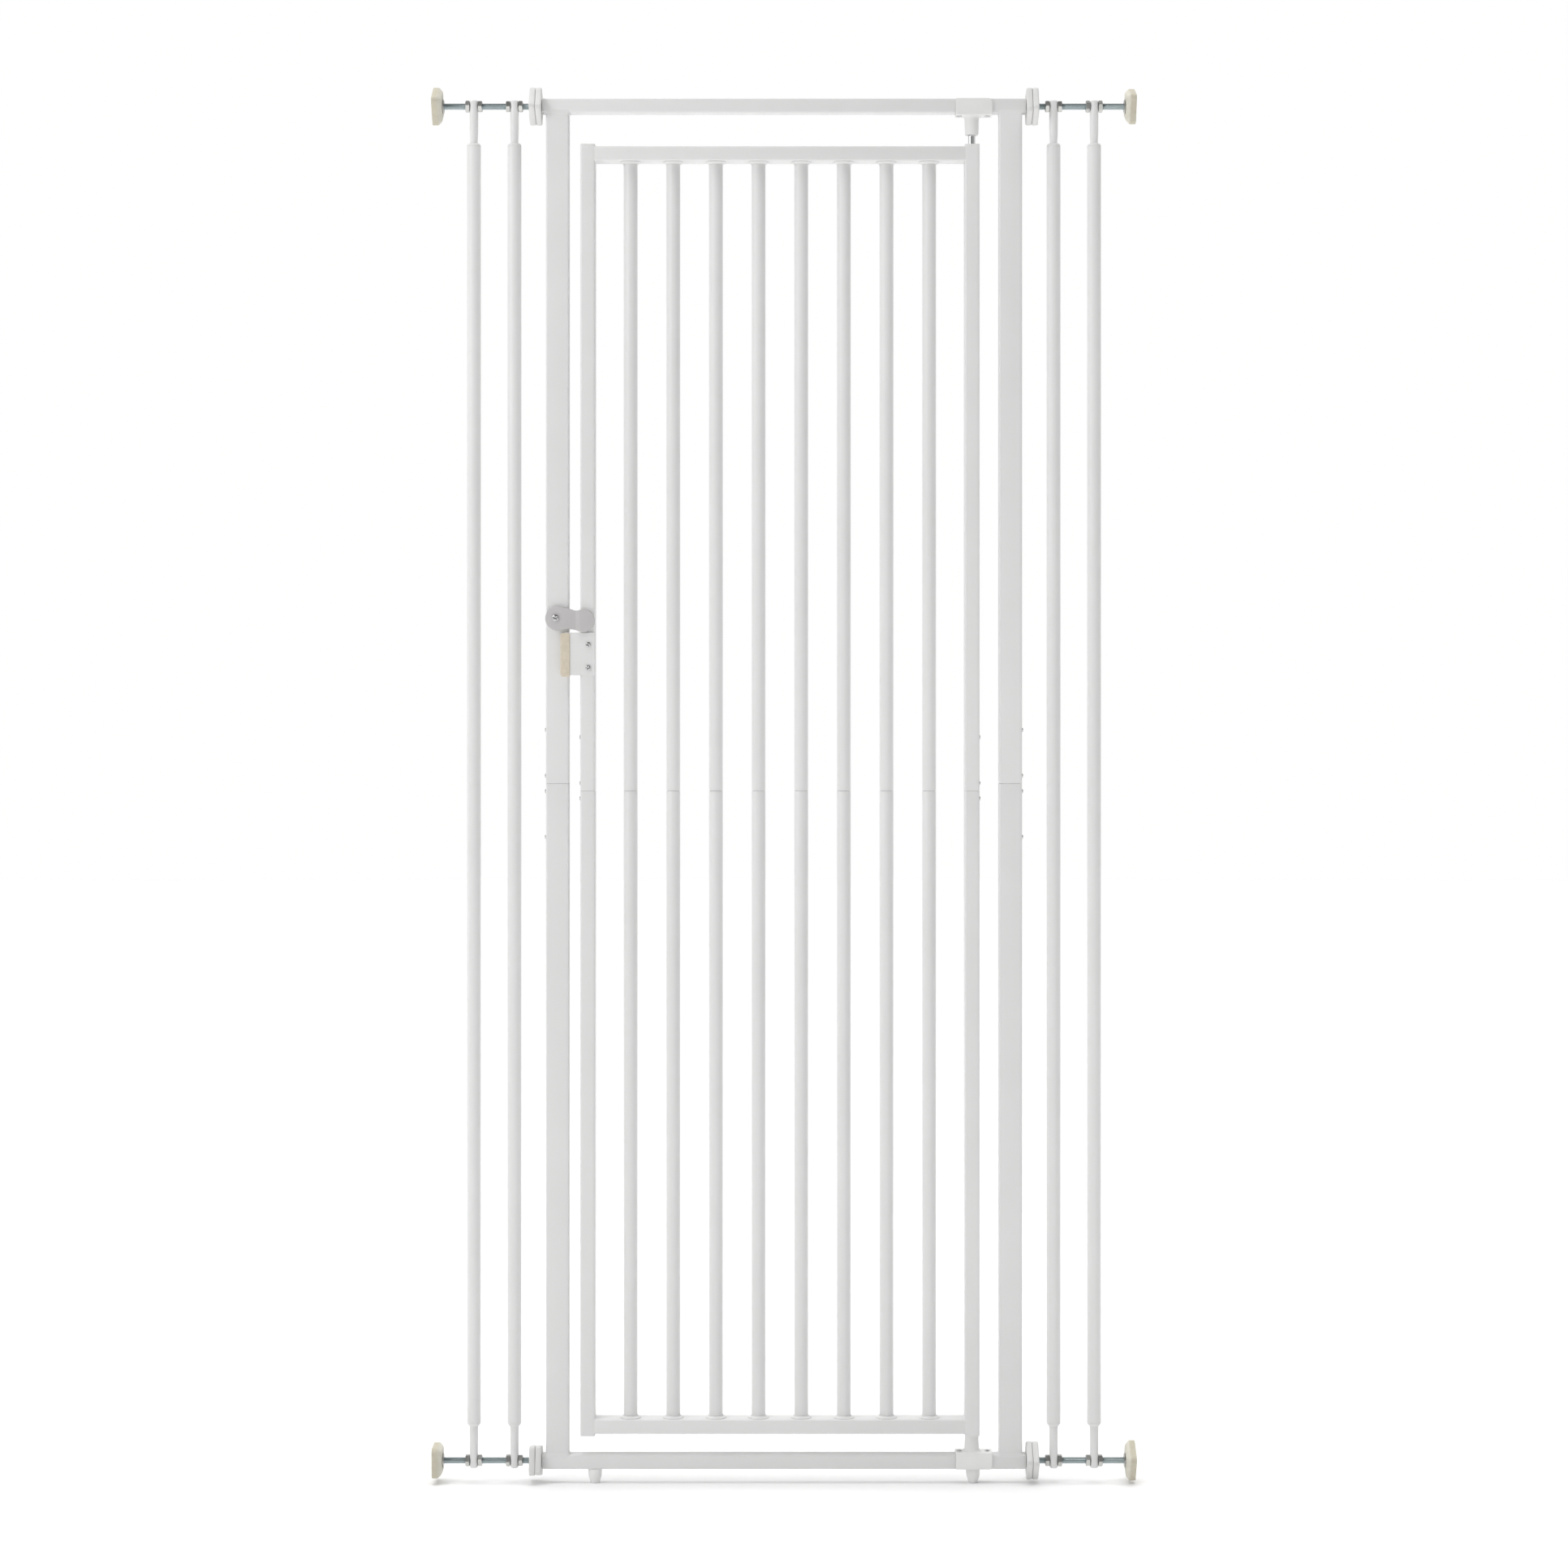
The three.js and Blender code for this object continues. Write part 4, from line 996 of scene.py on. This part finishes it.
def hex_nut(x0, x1, c, roll, af=13.0, bore=4.1, n=96):
    th = np.arange(n) * 2 * PI / n
    rel = (th - math.radians(roll) + PI / 6) % (PI / 3) - PI / 6
    hexr = af / 2 / np.cos(rel)
    # ease the six edges a little
    hexr = np.minimum(hexr, af / 2 / math.cos(PI / 6) - 0.12)
    rc = af / 2 * 0.95
    dirs = np.stack([np.cos(th), np.sin(th)], 1)
    lo, hi = min(x0, x1), max(x0, x1)
    drop = np.maximum(hexr - rc, 0) * math.tan(math.radians(30))

    def ring(rad, x):
        p = place(dirs * (rad[:, None] if hasattr(rad, "__len__") else rad), 0, "x")
        p[:, 0] = x
        return p + np.array(c)

    rings = [
        ring(bore, lo + 0.5), ring(bore + 0.55, lo), ring(rc, lo), ring(hexr, lo + drop),
        ring(hexr, hi - drop), ring(rc, hi), ring(bore + 0.55, hi), ring(bore, hi - 0.5),
    ]
    return Shell().skin(rings, loop=True)


ROLL = {
    ("top", "left"): (56, 54, 33.5),
    ("bottom", "left"): (-13.3, -10, 2),
    ("top", "right"): (-26, -30, 23.4),
    ("bottom", "right"): (-50, -47, -58.3),
}
NUT_ROLL = {
    ("top", "left"): (38, 31, 24, 35),
    ("top", "right"): (30, 38, 4, 14),
    ("bottom", "left"): (33, 20, 31, 8),
    ("bottom", "right"): (24, 34, 12, 29),
}

for hand, sx in SIDES:
    body = f"{hand}_extension"
    bars = []
    for which in ("inner", "outer"):
        lo, hi = B(f"extension_bar_{which}_{hand}")
        bars.append(((lo[0] + hi[0]) / 2, lo[2], hi[2], (hi[0] - lo[0]) / 2, which))
    for level in LEVELS:
        node = f"threaded_rod_{level}_{hand}"
        lo, hi = B(node)
        z = (B(f"adjusting_wheel_{level}_{hand}")[0][2] + B(f"adjusting_wheel_{level}_{hand}")[1][2]) / 2
        c = (0, 0, z)
        piece(f"rod_{level}_{hand}", threaded(lo[0], hi[0], 3.95, 1.25, c), ZINC, body, node, sharp=60)
        # nuts: one each side of each neck
        k = 0
        for xb, z0, z1, rb, which in bars:
            for d in (-1, 1):
                near = xb + d * 5.15
                o = piece(
                    f"nut_{level}_{hand}_{which}_{'in' if d * sx < 0 else 'out'}",
                    hex_nut(near, near + d * 5.1, c, NUT_ROLL[(level, hand)][k]),
                    NUTS, body, sharp=28,
                )
                k += 1
        plo, phi = B(f"wall_pad_{level}_{hand}")
        x_out, x_in = (phi[0], plo[0]) if sx > 0 else (plo[0], phi[0])
        wx = x_in - sx * 0.35
        s = turned([(4.15, wx), (7.6, wx), (8.0, wx - sx * 0.3), (8.0, wx - sx * 1.05), (7.75, wx - sx * 1.3), (4.15, wx - sx * 1.3)], "x", c, 56, loop=True)
        piece(f"pad_washer_{level}_{hand}", s, NUTS, body)

        # hand wheels
        for kind, roll in (("adjusting", ROLL[(level, hand)][0]), ("lock", ROLL[(level, hand)][1])):
            node = f"{kind}_wheel_{level}_{hand}"
            wlo, whi = B(node)
            a, b = (wlo[0], whi[0]) if sx > 0 else (whi[0], wlo[0])
            # the two wheels nearly touch
            if kind == "adjusting":
                b += sx * 0.18
            else:
                a -= sx * 0.14
            S, R = 35.8, 5.2
            sq = lambda i: rolled(square_outline(S - 2 * i, max(R - i * 0.7, 1.2)), roll)
            ci = lambda r: np.array([p / np.linalg.norm(p) * r for p in sq(0)])
            prof = [(1.7, 0.0), (1.0, 0.15), (0.48, 0.5), (0.14, 1.0), (0.0, 1.65)]
            T = abs(b - a)
            rings = [place(ci(4.35), a + sx * 0.9, "x", c), place(ci(5.0), a + sx * 0.25, "x", c), place(ci(8.6), a + sx * 0.25, "x", c), place(ci(9.1), a + sx * 0.7, "x", c), place(ci(13.2), a + sx * 0.8, "x", c), place(ci(14.0), a + sx * 0.05, "x", c)]
            rings += [place(sq(i), a + sx * t, "x", c) for i, t in prof]
            rings += [place(sq(i), b - sx * t, "x", c) for i, t in reversed(prof)]
            rings += [place(ci(14.0), b - sx * 0.05, "x", c), place(ci(13.2), b - sx * 0.8, "x", c), place(ci(9.1), b - sx * 0.7, "x", c), place(ci(8.6), b - sx * 0.25, "x", c), place(ci(5.0), b - sx * 0.25, "x", c), place(ci(4.35), b - sx * 0.9, "x", c)]
            piece(f"{kind}_hand_wheel_{level}_{hand}", Shell().skin(rings, loop=True), WHEELS, node, node, sharp=42)

        # wall pad: flat gripping face, straight rim, long bevel, dished socket
        node = f"wall_pad_{level}_{hand}"
        roll = ROLL[(level, hand)][2]
        S, R = 37.8, 6.0
        sq = lambda i: rolled(square_outline(S - 2 * i, max(R - i * 0.45, 1.5)), roll)
        ci = lambda r: np.array([p / np.linalg.norm(p) * r for p in sq(0)])
        T = abs(x_out - x_in)
        # (inset, depth from the wall face)
        wallf = [(9.0, 0.0), (8.6, 0.7), (6.9, 0.7), (6.5, 0.0), (4.6, 0.0), (4.2, 0.7), (2.7, 0.7), (2.3, 0.0), (0.8, 0.0)]
        rim = [(0.3, 0.18), (0.06, 0.6), (0.0, 1.3), (0.0, 6.6), (0.12, 7.4), (0.55, 8.05), (1.2, 8.7), (2.6, 10.2), (3.5, 11.1), (4.4, 11.7), (5.6, 12.0)]
        rings = [place(ci(6.0), x_out, "x", c)]
        rings += [place(sq(i), x_out - sx * t, "x", c) for i, t in wallf + rim]
        rings += [place(ci(10.2), x_in, "x", c), place(ci(9.3), x_in, "x", c), place(ci(8.9), x_in + sx * 0.4, "x", c), place(ci(8.7), x_in + sx * 0.9, "x", c)]
        rings += [place(ci(4.7), x_in + sx * 0.9, "x", c), place(ci(4.4), x_in + sx * 1.2, "x", c), place(ci(4.4), x_out - sx * 5.5, "x", c), place(ci(1.0), x_out - sx * 5.5, "x", c)]
        s = Shell()
        s.skin(rings)
        piece(f"wall_pad_{level}_{hand}_rubber", s, CREAM, node, node, sharp=44)

    # extension bars: tube with a groove at the seam, two end fittings with necks
    for xb, z0, z1, rb, which in bars:
        node = f"extension_bar_{which}_{hand}"
        lo_s, hi_s = 72.4, 1649.6
        ob = piece(
            f"extension_tube_{which}_{hand}",
            turned(
                [(rb - 1.1, lo_s + 1.7), (rb - 0.25, lo_s + 1.7), (rb - 0.08, lo_s + 1.78), (rb, lo_s + 1.95), (rb, 860.75), (rb - 0.22, 860.9),
                 (rb - 0.22, 861.1), (rb, 861.25), (rb, hi_s - 1.95), (rb - 0.08, hi_s - 1.78), (rb - 0.25, hi_s - 1.7), (rb - 1.1, hi_s - 1.7)],
                "z", (xb, 0, 0), 56, loop=True,
            ),
            WHITE_SIDE, body, node,
        )
        for end, up, zr in (("top", 1, z1), ("bottom", -1, z0)):
            t = hi_s if up > 0 else lo_s
            n = 48
            # rounded shoulder closing the tube, then a swaged neck that ends round the rod
            def sec(w, d, blend=1.0):
                q = rrect(w, d, w / 2 - 0.05, 11)
                return q

            def oval(w, d):
                a = np.arange(n) * 2 * PI / n
                p = 2.35
                return np.stack([np.sign(np.cos(a)) * np.abs(np.cos(a)) ** (2 / p) * w / 2, np.sign(np.sin(a)) * np.abs(np.sin(a)) ** (2 / p) * d / 2], 1)

            rings = [place(oval(13.6, 13.6), t - up * 16, "z", (xb, 0, 0)), place(circle(rb - 1.15, n), t - up * 15, "z", (xb, 0, 0)), place(circle(rb - 1.15, n), t - up * 1.62, "z", (xb, 0, 0))]
            dome = ((rb - 0.12, -1.62), (rb, -1.4), (rb - 0.05, -0.9), (rb - 0.35, 0.0), (rb - 0.95, 0.85), (rb - 1.75, 1.42), (rb - 2.6, 1.62))
            cone = ((rb - 0.12, -1.62), (rb, -1.4), (rb - 0.06, -0.8), (rb - 0.3, -0.2), (rb - 1.1, 0.9), (rb - 1.9, 1.9), (rb - 2.5, 2.5))
            for r, dz in dome if up > 0 else cone:
                rings.append(place(circle(r, n), t + up * dz, "z", (xb, 0, 0)))
            neck = [(9.7, 11.6, 1.35), (9.2, 11.6, 2.0), (9.3, 12.0, 5.0), (10.0, 13.2, 12.0), (10.4, 13.9, 20.0), (10.4, 14.0, 0)]
            if up < 0:
                neck = [(11.0, 11.8, 2.75), (10.8, 11.8, 3.6), (10.7, 12.0, 6.0), (10.4, 13.2, 14.0), (10.1, 13.9, 24.0), (10.1, 14.0, 0)]
            end_z = zr - up * 0.4
            for wx_, dy_, dz in neck[:-1]:
                rings.append(place(oval(wx_, dy_), t + up * dz, "z", (xb, 0, 0)))
            k = 1.0 if up > 0 else 0.97
            for wx_, dy_, back_ in ((10.4 * k, 14.0, 2.4), (10.25 * k, 13.8, 1.4), (9.6 * k, 13.0, 0.6), (8.2, 11.6, 0.1), (6.4, 9.6, 0.0)):
                rings.append(place(oval(wx_, dy_), end_z - up * back_, "z", (xb, 0, 0)))
            s = Shell().skin(rings)
            me = to_mesh("n", s)
            zrod = (B(f"adjusting_wheel_{end}_{hand}")[0][2] + B(f"adjusting_wheel_{end}_{hand}")[1][2]) / 2
            cut = to_mesh("m", turned([(4.25, xb - 12), (4.25, xb + 12)], "x", (0, 0, zrod), 40))
            me = boolean(me, [cut], "DIFFERENCE")
            nm = f"extension_end_{end}_{which}_{hand}"
            me.name = nm
            clean(me, 36)
            add(nm, me, WHITE_SIDE, body, node)
